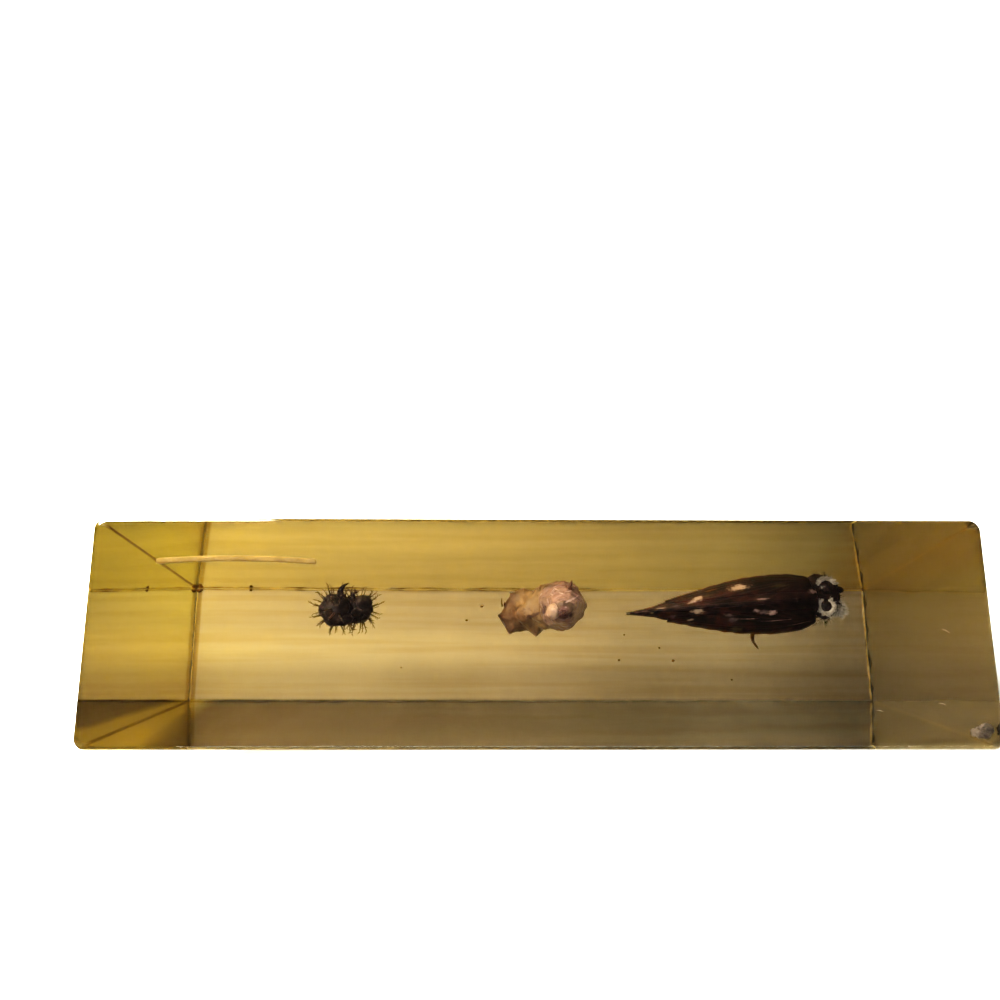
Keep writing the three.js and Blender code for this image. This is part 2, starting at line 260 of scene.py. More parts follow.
def buildDrift():
    # slow blotches over a surface, from 0 to 1
    tree, given, result = newGroup(
        "slowDrift",
        [("Scale", "Float", 400.0), ("Stretch", "Vector", (1, 1, 1)), ("Low", "Float", 0.4),
         ("High", "Float", 0.6), ("Shift", "Vector", (0, 0, 0))],
        [("Value", "Float")])
    place = addNode(tree, "ShaderNodeTexCoord").outputs["Object"]
    scaled = addVector(tree, "MULTIPLY", place, given.outputs["Stretch"])
    moved = addVector(tree, "ADD", scaled, given.outputs["Shift"])
    cloud = addNode(tree, "ShaderNodeTexNoise",
                    {"Vector": moved, "Scale": given.outputs["Scale"], "Detail": 4.0, "Roughness": 0.6})
    ranged = addRange(tree, cloud.outputs[0], given.outputs["Low"], given.outputs["High"],
                      interpolation_type="SMOOTHSTEP")
    tree.links.new(ranged, result.inputs["Value"])
    return tree


def buildGrain():
    # fine unevenness of a surface, as a bumped normal
    tree, given, result = newGroup(
        "fineGrain",
        [("Scale", "Float", 3000.0), ("Stretch", "Vector", (1, 1, 1)), ("Strength", "Float", 0.3),
         ("Depth", "Float", 0.00004)],
        [("Normal", "Vector")])
    place = addNode(tree, "ShaderNodeTexCoord").outputs["Object"]
    scaled = addVector(tree, "MULTIPLY", place, given.outputs["Stretch"])
    cloud = addNode(tree, "ShaderNodeTexNoise",
                    {"Vector": scaled, "Scale": given.outputs["Scale"], "Detail": 5.0, "Roughness": 0.65})
    bump = addNode(tree, "ShaderNodeBump",
                   {"Height": cloud.outputs[0], "Strength": given.outputs["Strength"],
                    "Distance": given.outputs["Depth"]})
    tree.links.new(bump.outputs[0], result.inputs["Normal"])
    return tree


def buildSpot():
    # soft turned oval at a place on a surface: 1 inside, 0 outside
    tree, given, result = newGroup(
        "softSpot",
        [("Place", "Vector", (0, 0, 0)), ("Centre", "Vector", (0, 0, 0)), ("Size", "Vector", (1, 1, 1)),
         ("Turn", "Float", 0.0), ("Softness", "Float", 0.3), ("Ragged", "Float", 0.2)],
        [("Value", "Float")])
    offset = addVector(tree, "SUBTRACT", given.outputs["Place"], given.outputs["Centre"])
    turned = addNode(tree, "ShaderNodeVectorRotate", {"Vector": offset, "Angle": given.outputs["Turn"]},
                     rotation_type="Z_AXIS")
    sized = addVector(tree, "DIVIDE", turned.outputs[0], given.outputs["Size"])
    reach = addNode(tree, "ShaderNodeVectorMath", {0: sized}, operation="LENGTH").outputs["Value"]
    place = addNode(tree, "ShaderNodeTexCoord").outputs["Object"]
    cloud = addNode(tree, "ShaderNodeTexNoise", {"Vector": place, "Scale": 1900.0, "Detail": 3.0})
    centred = addMath(tree, "SUBTRACT", cloud.outputs[0], 0.5)
    torn = addMath(tree, "MULTIPLY_ADD", centred, given.outputs["Ragged"], reach)
    inner = addMath(tree, "SUBTRACT", 1.0, given.outputs["Softness"])
    ranged = addRange(tree, torn, inner, 1.0, 1.0, 0.0, interpolation_type="SMOOTHSTEP")
    tree.links.new(ranged, result.inputs["Value"])
    return tree


sharedGroups = {"drift": buildDrift(), "grain": buildGrain(), "spot": buildSpot()}


def useGroup(tree, name, inputs):
    return addNode(tree, "ShaderNodeGroup", inputs, node_tree=sharedGroups[name])


def addGrain(tree, shader, scale, strength, depth, stretch=(1, 1, 1)):
    grain = useGroup(tree, "grain", {"Scale": scale, "Stretch": stretch, "Strength": strength,
                                     "Depth": depth})
    tree.links.new(grain.outputs["Normal"], shader.inputs["Normal"])


def startMaterial(name, fixed):
    # a Principled material whose even values sit on its own sockets
    material = bpy.data.materials.new(name)
    material.use_nodes = True
    shader = material.node_tree.nodes["Principled BSDF"]
    for key, value in fixed.items():
        shader.inputs[key].default_value = value
    return material, material.node_tree, shader


print("helpers and shared node groups ready")


# clear bar: its walls lean in towards the face that it rests on

resinBar = {
    "length": 130.0, "width": 33.0, "height": 44.0, "draft": 9.0, "cornerRadius": 1.6, "cornerLow": 0.04,
    "rim": 0.8, "rimSteps": 6, "sideSteps": (34, 120),
    # the upright edges are rounded by hand near the top face only: from this depth, over this height
    "roundedFrom": 7.0, "roundedOver": 5.5,
    # levels of the walls: from the base with the share of the edge waves there, and from the top face
    "lowLevels": ((0.42, 1.0), (1.1, 0.9), (2.0, 0.4), (3.2, 0.0)),
    "highLevels": (7.0, 5.0, 3.6, 2.4, 1.6, 1.0),
    # lower edges in the order right, back, left, front: how far they round, and how far they waver
    "lowerRim": (0.04, 0.04, 0.30, 0.05), "edgeWave": (0.10, 0.02, 0.03, 0.04),
    "absorbColour": (0.70, 0.647, 0.475), "absorbDensity": 40.0, "ior": 1.5,
    "polish": 0.01, "baseRoughness": 0.6, "baseLevels": (0.004, 0.012),
    "streak": (0.82, 0.78, 0.73),
    # darker along the lower edges: its colour, and where it ends upwards, to the right and next to the base
    "lowEdgeDark": (0.45, 0.32, 0.17), "lowEdgeTop": (0.7, 0.8), "lowEdgeRight": (57.0, 57.3),
    "lowEdgeAboveBase": (0.005, 0.02),
    # painted shade across the base, in place of how the lamp falls off: masks, each as axis, where it starts
    # and where it is full, and the colour
    "baseShades": ((((1, -1.5, -5.0),), (0.60, 0.58, 0.57)),
                  (((0, -40.0, 5.0),), (0.98, 0.935, 0.93)),
                  (((0, -14.0, -38.0),), (0.84, 0.84, 0.87)),
                  (((1, 1.2, 3.4), (0, 16.0, -16.0)), (0.79, 0.78, 0.84)),
                  (((0, -57.0, -57.3),), (0.60, 0.50, 0.32)),
                  (((0, 33.0, 53.0),), (0.66, 0.64, 0.64))),
    # painted shade on the walls, as coat tints on what they mirror inside: each wall has one tint at its left
    # or near end and one at its other end
    "skins": {"right": ((0.56, 0.55, 0.57), (0.63, 0.61, 0.54)),
              "back": ((1.0, 0.982, 0.80), (0.94, 0.875, 0.64)),
              "left": ((0.94, 0.89, 0.67), (1.0, 1.0, 0.70)),
              "front": ((0.36, 0.33, 0.32), (0.88, 0.89, 0.92))},
    "wallShadeEnds": {"right": (-8.0, 8.0), "back": (44.0, 53.0), "left": (-8.0, 8.0), "front": (-46.0, 40.0)},
    # the front wall's left end and the upright edges get more painted shade
    "frontLeftShade": (0.80, 0.77, 0.54), "frontLeftShadeEnds": (-53.0, -57.0), "cornerShade": (0.72, 0.66, 0.58),
    "shadeCoatWeight": 1.0, "shadeCoatIor": 1.05, "shadeCoatRoughness": 0.02,
    "wallShadeDepth": (-0.35, -0.15), "cornerShadeDepth": (-0.30, -0.10),
}


def wallRing(z, insets, spec, wave=0.0):
    # insets run right, back, left, front
    lean = math.tan(math.radians(spec["draft"]))
    drawn = (spec["height"] - z) * lean
    right, left = (spec["length"] / 2 - drawn - insets[side] for side in (0, 2))
    back, front = (spec["width"] / 2 - drawn - insets[side] for side in (1, 3))
    ease = min(1.0, max(0.0, (z - spec["height"] + spec["roundedFrom"]) / spec["roundedOver"]))
    radius = spec["cornerLow"] + (spec["cornerRadius"] - spec["cornerLow"]) * ease ** 2
    corners = []
    for x, y, start in ((right, -front, -0.5), (right, back, 0), (-left, back, 0.5), (-left, -front, 1)):
        corner = []
        for step in range(9):
            angle = math.pi * (start + 0.5 * step / 8)
            corner.append(Vector((x - math.copysign(radius, x) + radius * math.cos(angle),
                                  y - math.copysign(radius, y) + radius * math.sin(angle), z)))
        corners.append(corner)
    ring = []
    for index, corner in enumerate(corners):
        ring += corner
        nextCorner = corners[(index + 1) % 4]
        steps = spec["sideSteps"][index % 2]
        edge = nextCorner[0] - corner[-1]
        # a close step beside each corner keeps the walls flat up to it
        close = 0.12 / edge.length
        outward = Vector((edge.y, -edge.x, 0)).normalized()
        for share in (close, *(step / steps for step in range(1, steps)), 1 - close):
            fade = min(1.0, share * 8, (1 - share) * 8)
            point = corner[-1] + edge * share
            along = point.x + 2.3 * point.y
            swell = math.sin(along * 0.52) + 0.6 * math.sin(along * 1.37 + 1.3) + 0.3 * math.sin(along * 3.1)
            ring.append(point + outward * (swell * wave * fade * spec["edgeWave"][index]))
    return ring


def makeBar(spec):
    rim, steps, flat = spec["rim"], spec["rimSteps"], (0, 0, 0, 0)
    rings = []
    for step in range(steps + 1):
        turn = 0.5 * math.pi * step / steps
        insets = [side * (1 - math.sin(turn)) for side in spec["lowerRim"]]
        ring = wallRing(0, insets, spec, 1.0)
        for point in ring:
            # each side rises by its own rounding
            nearness = [abs(spec["length"] / 2 - abs(point.x)), abs(spec["width"] / 2 - abs(point.y))]
            side = (0 if point.x > 0 else 2) if nearness[0] < nearness[1] else (1 if point.y > 0 else 3)
            point.z = spec["lowerRim"][side] * (1 - math.cos(turn))
        rings.append(ring)
    for z, wave in (*spec["lowLevels"], *((spec["height"] - depth, 0.0) for depth in spec["highLevels"])):
        rings.append(wallRing(z, flat, spec, wave))
    for step in range(steps, -1, -1):
        turn = 0.5 * math.pi * step / steps
        inset = rim * (1 - math.sin(turn))
        rings.append(wallRing(spec["height"] - rim * (1 - math.cos(turn)), (inset,) * 4, spec))
    count = len(rings[0])
    points = [point for ring in rings for point in ring]
    faces = []
    for level in range(len(rings) - 1):
        for index in range(count):
            a, b = level * count + index, level * count + (index + 1) % count
            faces.append((a, b, b + count, a + count))
    faces.append(tuple(reversed(range(count))))
    faces.append(tuple(range(len(points) - count, len(points))))
    bar = makeObject("resin_bar", points, faces)
    for end in (-1, -2):
        bar.data.polygons[end].use_smooth = False
    return bar


def makeResin(spec):
    material, tree, shader = startMaterial("amberResin", {
        "Transmission Weight": 1.0, "IOR": spec["ior"], "Coat Weight": spec["shadeCoatWeight"],
        "Coat IOR": spec["shadeCoatIor"], "Coat Roughness": spec["shadeCoatRoughness"]})
    place = addNode(tree, "ShaderNodeTexCoord").outputs["Object"]
    parts = addNode(tree, "ShaderNodeSeparateXYZ", {0: place}).outputs
    # the face that it rests on was left as ground, the others are polished
    onBase = addSpan(tree, parts[2], spec["baseLevels"], 1.0, 0.0)
    roughness = addRange(tree, onBase, 0.0, 1.0, spec["polish"], spec["baseRoughness"])
    tree.links.new(roughness, shader.inputs["Roughness"])
    colour = (1.0, 1.0, 1.0)
    # painted shade across the base, darker where the lamp's light falls off
    for masks, tint in spec["baseShades"]:
        share = onBase
        for axis, *ends in masks:
            share = addMath(tree, "MULTIPLY", addSpan(tree, parts[axis], ends), share)
        colour = tintBy(tree, share, colour, tint)
    # faint sanding streaks in the base
    streaks = useGroup(tree, "drift", {"Scale": 500.0, "Stretch": (0.03, 1, 1), "Low": 0.40, "High": 0.66})
    colour = tintBy(tree, addMath(tree, "MULTIPLY", streaks.outputs[0], onBase), colour, spec["streak"])
    # darker along the lower edges, apart from the right one
    lowEdgeMask = useGroup(tree, "drift", {"Scale": 260.0, "Low": 0.22, "High": 0.42}).outputs[0]
    for mask in (addSpan(tree, parts[2], spec["lowEdgeTop"], 1.0, 0.0),
                 addSpan(tree, parts[0], spec["lowEdgeRight"], 1.0, 0.0),
                 addSpan(tree, parts[2], spec["lowEdgeAboveBase"])):
        lowEdgeMask = addMath(tree, "MULTIPLY", lowEdgeMask, mask)
    tree.links.new(tintBy(tree, lowEdgeMask, colour, spec["lowEdgeDark"]), shader.inputs["Base Color"])
    # painted shade on the walls: a coat tint darkens what they mirror when light glances off them inside
    lean = math.tan(math.radians(spec["draft"]))
    skin, depths = (1.0, 1.0, 1.0), {}
    for word, axis, sign, span in (("right", 0, 1.0, "length"), ("left", 0, -1.0, "length"),
                                   ("back", 1, 1.0, "width"), ("front", 1, -1.0, "width")):
        reach = (spec["height"] * lean - spec[span] / 2) * mm
        outer = addMath(tree, "MULTIPLY_ADD", parts[axis], sign, reach)
        depths[word] = addMath(tree, "MULTIPLY_ADD", parts[2], -lean, outer)
        tint = mixColour(tree, addSpan(tree, parts[1 - axis], spec["wallShadeEnds"][word]), *spec["skins"][word])
        if word == "front":
            tint = mixColour(tree, addSpan(tree, parts[0], spec["frontLeftShadeEnds"]), tint, spec["frontLeftShade"])
        skin = mixColour(tree, addSpan(tree, depths[word], spec["wallShadeDepth"]), skin, tint)
    # painted shade: the upright edges are a little darker
    endDepth = addMath(tree, "MAXIMUM", depths["right"], depths["left"])
    sideDepth = addMath(tree, "MAXIMUM", depths["back"], depths["front"])
    atCorner = addSpan(tree, addMath(tree, "MINIMUM", endDepth, sideDepth), spec["cornerShadeDepth"])
    tree.links.new(tintBy(tree, atCorner, skin, spec["cornerShade"]), shader.inputs["Coat Tint"])
    absorb = addNode(tree, "ShaderNodeVolumeAbsorption", {
        "Color": (*spec["absorbColour"], 1), "Density": spec["absorbDensity"]})
    tree.links.new(absorb.outputs[0], tree.nodes["Material Output"].inputs["Volume"])
    return material


bar = makeBar(resinBar)
bar.data.materials.append(makeResin(resinBar))
finishPiece(bar, "resin", "resin_lower", "resin_upper")
print("clear bar made")


# bristles, hairs and scales: one Geometry Nodes tree grows them on given points

def buildBristles():
    tree = bpy.data.node_groups.new("bristles", "GeometryNodeTree")
    face = tree.interface
    face.new_socket("Geometry", in_out="INPUT", socket_type="NodeSocketGeometry")
    for socketName, kind, value in (("Length", "Float", 0.0018), ("Radius", "Float", 0.0001),
                                    ("Branches", "Int", 5), ("Branch Length", "Float", 0.0004),
                                    ("Bend", "Float", 0.0003), ("Flat", "Float", 1.0), ("Seed", "Int", 1)):
        socket = face.new_socket(socketName, in_out="INPUT", socket_type="NodeSocket" + kind)
        socket.default_value = value
    face.new_socket("Material", in_out="INPUT", socket_type="NodeSocketMaterial")
    face.new_socket("Geometry", in_out="OUTPUT", socket_type="NodeSocketGeometry")
    given, result = tree.nodes.new("NodeGroupInput"), tree.nodes.new("NodeGroupOutput")
    fullTurn = 6.28

    def taper(lengthSocket, radiusSocket, count, bendSocket=None):
        tip = addNode(tree, "ShaderNodeCombineXYZ", {2: lengthSocket})
        line = addNode(tree, "GeometryNodeCurvePrimitiveLine", {"End": tip.outputs[0]})
        fine = addNode(tree, "GeometryNodeResampleCurve", {"Curve": line.outputs[0], "Count": count})
        share = addNode(tree, "GeometryNodeSplineParameter").outputs["Factor"]
        curve = fine.outputs[0]
        if bendSocket:
            push = addMath(tree, "MULTIPLY", addMath(tree, "POWER", share, 2.0), bendSocket)
            offset = addNode(tree, "ShaderNodeCombineXYZ", {0: push})
            bent = addNode(tree, "GeometryNodeSetPosition", {"Geometry": curve, "Offset": offset.outputs[0]})
            curve = bent.outputs[0]
        wide = addMath(tree, "MULTIPLY", addRange(tree, share, 0.0, 1.0, 1.0, 0.12), radiusSocket)
        circle = addNode(tree, "GeometryNodeCurvePrimitiveCircle", {"Resolution": 5, "Radius": 1.0})
        squash = addNode(tree, "ShaderNodeCombineXYZ", {0: 1.0, 1: given.outputs["Flat"], 2: 1.0})
        profile = addNode(tree, "GeometryNodeTransform",
                          {"Geometry": circle.outputs[0], "Scale": squash.outputs[0]})
        skin = addNode(tree, "GeometryNodeCurveToMesh",
                       {"Curve": curve, "Profile Curve": profile.outputs[0], "Scale": wide,
                        "Fill Caps": True})
        return curve, skin.outputs[0]

    stem, stemSkin = taper(given.outputs["Length"], given.outputs["Radius"], 6, given.outputs["Bend"])
    thinRadius = addMath(tree, "MULTIPLY", given.outputs["Radius"], 0.5)
    _, twigSkin = taper(given.outputs["Branch Length"], thinRadius, 2)
    spots = addNode(tree, "GeometryNodeCurveToPoints", {"Curve": stem, "Count": given.outputs["Branches"]})
    index = addNode(tree, "GeometryNodeInputIndex")
    turn = addNode(tree, "FunctionNodeRandomValue", {"ID": index.outputs[0], "Seed": 7}, data_type="FLOAT")
    turn.inputs[3].default_value = fullTurn
    tilt = addNode(tree, "ShaderNodeCombineXYZ", {0: 0.9, 2: turn.outputs[1]})
    twigs = addNode(tree, "GeometryNodeInstanceOnPoints",
                    {"Points": spots.outputs[0], "Instance": twigSkin, "Rotation": tilt.outputs[0]})
    whole = addNode(tree, "GeometryNodeJoinGeometry")
    tree.links.new(stemSkin, whole.inputs[0])
    tree.links.new(twigs.outputs[0], whole.inputs[0])
    way = addNode(tree, "GeometryNodeInputNamedAttribute", {"Name": "way"}, data_type="FLOAT_VECTOR")
    size = addNode(tree, "GeometryNodeInputNamedAttribute", {"Name": "size"}, data_type="FLOAT")
    aim = addNode(tree, "FunctionNodeAlignRotationToVector", {"Vector": way.outputs[0]}, axis="Z")
    spin = addNode(tree, "FunctionNodeRandomValue", {"Seed": given.outputs["Seed"]}, data_type="FLOAT")
    spin.inputs[3].default_value = fullTurn
    aboutStem = addNode(tree, "ShaderNodeCombineXYZ", {2: spin.outputs[1]})
    turned = addNode(tree, "FunctionNodeRotateRotation",
                     {"Rotation": aim.outputs[0], "Rotate By": aboutStem.outputs[0]}, rotation_space="LOCAL")
    grown = addNode(tree, "GeometryNodeInstanceOnPoints",
                    {"Points": given.outputs["Geometry"], "Instance": whole.outputs[0],
                     "Rotation": turned.outputs[0], "Scale": size.outputs[0]})
    real = addNode(tree, "GeometryNodeRealizeInstances", {0: grown.outputs[0]})
    dressed = addNode(tree, "GeometryNodeSetMaterial",
                      {"Geometry": real.outputs[0], "Material": given.outputs["Material"]})
    tree.links.new(dressed.outputs[0], result.inputs[0])
    return tree


bristleTree = buildBristles()


def growBristles(name, anchors, spec, material):
    # anchors are (point, direction, size); the result is a plain mesh
    mesh = bpy.data.meshes.new(name + "Roots")
    mesh.from_pydata([tuple(Vector(point) * mm) for point, _, _ in anchors], [], [])
    mesh.attributes.new("way", "FLOAT_VECTOR", "POINT")
    mesh.attributes.new("size", "FLOAT", "POINT")
    for index, (_, way, size) in enumerate(anchors):
        mesh.attributes["way"].data[index].vector = way
        mesh.attributes["size"].data[index].value = size
    roots = bpy.data.objects.new(name + "Roots", mesh)
    bpy.context.scene.collection.objects.link(roots)
    modifier = roots.modifiers.new("bristles", "NODES")
    modifier.node_group = bristleTree
    values = {"Length": spec["length"] * mm, "Radius": spec["radius"] * mm, "Branches": spec["branches"],
              "Branch Length": spec["branchLength"] * mm, "Bend": spec["bend"] * mm, "Flat": spec["flat"],
              "Seed": spec["seed"], "Material": material}
    for socket in bristleTree.interface.items_tree:
        if socket.in_out == "INPUT" and socket.name in values:
            modifier[socket.identifier] = values[socket.name]
    graph = bpy.context.evaluated_depsgraph_get()
    grown = bpy.data.meshes.new_from_object(roots.evaluated_get(graph))
    roots.modifiers.remove(modifier)
    bpy.data.objects.remove(roots)
    item = bpy.data.objects.new(name, grown)
    bpy.context.scene.collection.objects.link(item)
    for face in grown.polygons:
        face.use_smooth = True
    return item


# larva: a dark hooked body of swollen segments with branched spines

larvaLook = {
    "line": ((-29.9, 3.5, 36.6), (-30.3, 3.6, 34.4), (-30.6, 3.75, 32.0), (-30.6, 3.9, 29.6),
             (-29.2, 4.0, 27.2), (-27.7, 4.1, 28.4), (-27.1, 4.0, 31.2), (-26.9, 4.0, 33.4),
             (-26.6, 4.1, 34.6)),
    "steps": 190, "tailRadius": 2.45, "headRadius": 1.75, "segments": 12, "swell": 0.10, "wrinkle": 0.10,
    "horn": ((-29.6, 5.0, 34.4), (-29.75, 6.3, 34.7), (-29.3, 7.15, 34.8), (-28.45, 7.65, 34.8)),
    "hook": ((-27.9, 5.0, 33.4), (-27.9, 6.0, 33.8), (-27.1, 6.4, 33.9)),
    # head and other lumps: centre, size, rows, columns, roughness, seed
    "lumps": (((-26.3, 4.75, 34.0), (1.3, 1.15, 1.25), 16, 24, 0.25, 1.0),
              ((-25.95, 3.7, 33.8), (1.05, 1.05, 1.15), 14, 20, 0.25, 5.0),
              ((-27.1, 3.1, 34.2), (1.0, 0.9, 0.9), 12, 18, 0.3, 9.0),
              ((-29.0, 2.3, 35.0), (1.3, 0.9, 0.9), 12, 18, 0.3, 13.0)),
    "spines": {"length": 2.05, "radius": 0.155, "branches": 7, "branchLength": 0.5, "bend": 0.25, "flat": 1.0,
               "seed": 4},
    "spinesRound": 7, "spineDark": (0.0025, 0.0012, 0.0009), "spineTip": (0.012, 0.0045, 0.002),
    "skin": (0.0020, 0.0010, 0.0009), "skinPale": (0.006, 0.0034, 0.0030), "amber": (0.012, 0.004, 0.001),
}


def makeLarvaSkin(spec):
    material, tree, shader = startMaterial("larvaSkin", {"IOR": 1.5, "Specular IOR Level": 0.03})
    blotch = useGroup(tree, "drift", {"Scale": 900.0, "Low": 0.42, "High": 0.68})
    folds = useGroup(tree, "drift", {"Scale": 1500.0, "Stretch": (1, 1, 2.2), "Low": 0.55, "High": 0.75,
                                     "Shift": (0.3, 0.1, 0)})
    base = mixColour(tree, blotch.outputs[0], spec["skin"], spec["skinPale"])
    colour = mixColour(tree, folds.outputs[0], base, spec["amber"])
    tree.links.new(colour, shader.inputs["Base Color"])
    tree.links.new(addRange(tree, blotch.outputs[0], 0.0, 1.0, 0.34, 0.62), shader.inputs["Roughness"])
    addGrain(tree, shader, 4200.0, 0.7, 0.00012)
    return material


def makeSpineHorn(spec):
    material, tree, shader = startMaterial("spineHorn", {"Roughness": 0.35, "Specular IOR Level": 0.06})
    drift = useGroup(tree, "drift", {"Scale": 700.0, "Low": 0.4, "High": 0.6})
    tree.links.new(mixColour(tree, drift.outputs[0], spec["spineDark"], spec["spineTip"]),
                   shader.inputs["Base Color"])
    addGrain(tree, shader, 6000.0, 0.4, 0.00004)
    return material


def makeLarva(spec):
    steps = spec["steps"]
    path, _ = smoothPath(spec["line"], steps)

    def radiusAt(share, angle):
        radius = spec["tailRadius"] + (spec["headRadius"] - spec["tailRadius"]) * share
        ends = min(1.0, math.sqrt(max(share, 0.0004) * 9), math.sqrt(max(1 - share, 0.0004) * 11))
        wave = abs(math.sin(math.pi * share * spec["segments"]))
        band = 1 + spec["swell"] * (wave ** 0.6 - 0.75)
        lobes = 1 + 0.045 * wave * math.cos(6 * angle + 0.4)
        way = Vector((math.cos(angle) * 1.7, math.sin(angle) * 1.7, share * 16))
        crease = spec["wrinkle"] * noise.noise(way * 1.3) + 0.05 * noise.noise(way * 4.1)
        return radius * ends * band * lobes * (1 + crease)

    skins = [loftFaces(pathRings(path, radiusAt, 44, Vector((0, 1, 0))))]
    skins += [blobSkin(*lump) for lump in spec["lumps"]]
    skins.append(tubeSkin(spec["horn"], (0.85, 0.62, 0.4, 0.22, 0.05), 14, 36, 0.2))
    skins.append(tubeSkin(spec["hook"], (0.5, 0.36, 0.2, 0.06), 12, 24, 0.2))
    addPiece("larva_body", joinSkins(skins), makeLarvaSkin(spec), "larva_skin", "larva")

    # rings of spines along the body, left out between the two arms of the hook
    picker = random.Random(11)
    anchors = []
    for segment in range(spec["segments"] + 1):
        share = min(max(segment / spec["segments"], 0.03), 0.985)
        place = int(share * steps)
        along = (path[min(place + 1, steps)] - path[max(place - 1, 0)]).normalized()
        side = Vector((0, 1, 0)).cross(along).normalized()
        back = along.cross(side).normalized()
        for spoke in range(spec["spinesRound"]):
            angle = 2 * math.pi * (spoke + 0.5 * (segment % 2)) / spec["spinesRound"]
            angle += picker.uniform(-0.2, 0.2)
            outward = side * math.cos(angle) + back * math.sin(angle)
            if abs(outward.y) < 0.45 and outward.x * (path[place].x + 29.1) < 0:
                continue
            lean = picker.uniform(-0.35, 0.1)
            outward = (outward + along * lean - along * (0.8 if segment == 0 else 0)).normalized()
            radius = radiusAt(share, math.atan2(outward.dot(Vector((0, 1, 0))), outward.dot(side)))
            radius = min(radius, 2.6) * 0.86
            anchors.append((path[place] + outward * radius, outward, picker.uniform(0.75, 1.15)))
    spines = growBristles("larva_spines", anchors, spec["spines"], makeSpineHorn(spec))
    finishPiece(spines, "larva_skin", "larva")


makeLarva(larvaLook)
print("larva made")


# chrysalis: ringed abdomen on top, angular wing cases below it

chrysalisLook = {
    "line": ((3.9, 3.6, 36.6), (3.85, 4.0, 34.9), (3.6, 4.45, 32.4), (2.3, 4.4, 30.4), (-0.3, 4.0, 28.8),
             (-3.0, 3.5, 27.8), (-5.2, 3.2, 27.2)),
    "radius": 3.6, "ringSpacing": 0.72, "ringDepth": 0.035, "ringedLength": 6.4, "waistAt": 7.2,
    # angular corners: where each one points, and how far it draws the skin out
    "corners": ((-6.15, 3.3, 27.9, 1.5), (-5.0, 5.0, 28.1, 1.0), (-4.3, 6.75, 28.5, 1.3),
                (-4.3, 0.35, 27.9, 1.3), (-0.3, -0.05, 28.9, 1.1), (-2.2, 7.4, 29.4, 1.3),
                (0.3, 7.75, 30.9, 1.2), (3.2, 0.7, 32.0, 1.2)),
    "spike": ((4.5, 6.6, 34.4), (4.8, 7.5, 34.8), (4.95, 8.1, 35.0)),
    "bead": (2.05, 3.35, 35.6), "beadRadius": 1.05,
    "mauve": (0.072, 0.030, 0.024), "pink": (0.135, 0.074, 0.058), "tan": (0.102, 0.059, 0.026),
    "brown": (0.060, 0.028, 0.012), "paleTan": (0.24, 0.15, 0.085), "darkBrown": (0.018, 0.005, 0.003),
    "core": (0.016, 0.004, 0.003), "paintedHighlight": (0.34, 0.23, 0.20), "slim": 0.87, "crumple": 0.42,
    # plain skins: two tones, scale of their blotches, even values
    "darkSpike": (((0.018, 0.005, 0.003), (0.045, 0.016, 0.010)), 900.0,
                  {"Roughness": 0.4, "Specular IOR Level": 0.1}),
    "pearlBead": (((0.17, 0.105, 0.07), (0.32, 0.22, 0.175)), 500.0,
                  {"Roughness": 0.25, "Specular IOR Level": 0.2}),
    # short barbs at the lower end
    "barbs": (((-5.45, 4.6, 28.5), (-5.55, 5.3, 28.9), (-5.5, 5.85, 29.0)),
              ((-5.1, 4.6, 28.6), (-5.15, 5.0, 28.9), (-5.1, 5.3, 29.0))),
    "barbRadii": ((0.13, 0.09, 0.03), (0.12, 0.08, 0.03)),
    # stains and painted highlights seen from above, on what lies higher than this: place, size, turn, colour,
    # strength
    "stainAndHighlightLevels": (28.0, 29.5),
    "stainsAndHighlights": ((6.2, 3.0, 2.6, 5.6, 0.35, "paleTan", 0.85), (3.4, 1.1, 4.2, 1.7, 0.15, "paleTan", 0.8),
               (6.75, 5.0, 0.8, 2.6, 0.2, "paleTan", 0.7), (-1.6, 5.2, 4.6, 3.0, 0.1, "tan", 0.8),
               (-0.9, 2.95, 2.5, 0.7, -0.35, "core", 0.9), (0.75, 3.7, 0.7, 1.3, 0.25, "core", 0.85),
               (-2.0, 2.6, 2.2, 0.5, -0.2, "brown", 0.7), (-3.6, 4.9, 0.5, 1.8, 0.1, "brown", 0.6),
               (-5.0, 3.4, 1.1, 2.2, 0.0, "brown", 0.65), (-2.4, 1.0, 2.6, 0.6, -0.1, "tan", 0.8),
               (3.2, 3.0, 1.6, 1.0, 0.2, "core", 0.95), (4.6, 2.9, 0.9, 0.9, 0.0, "darkBrown", 0.8),
               (3.75, 3.75, 1.2, 0.9, 0.0, "mauve", 0.95), (3.9, 3.9, 0.5, 0.35, 0.0, "paintedHighlight", 0.45),
               (4.6, 5.0, 2.0, 0.38, -0.5, "paintedHighlight", 0.8), (2.6, 6.75, 0.9, 0.22, 0.5, "paintedHighlight", 0.8),
               (3.3, 6.1, 0.8, 0.2, 0.3, "paintedHighlight", 0.7), (1.9, 6.0, 0.6, 0.18, 0.8, "paintedHighlight", 0.6),
               (4.4, 6.4, 1.1, 0.18, -0.2, "paintedHighlight", 0.5), (1.3, 5.0, 0.2, 0.9, -0.2, "paintedHighlight", 0.5),
               (5.6, 5.6, 0.9, 0.16, -0.7, "paintedHighlight", 0.5)),
}


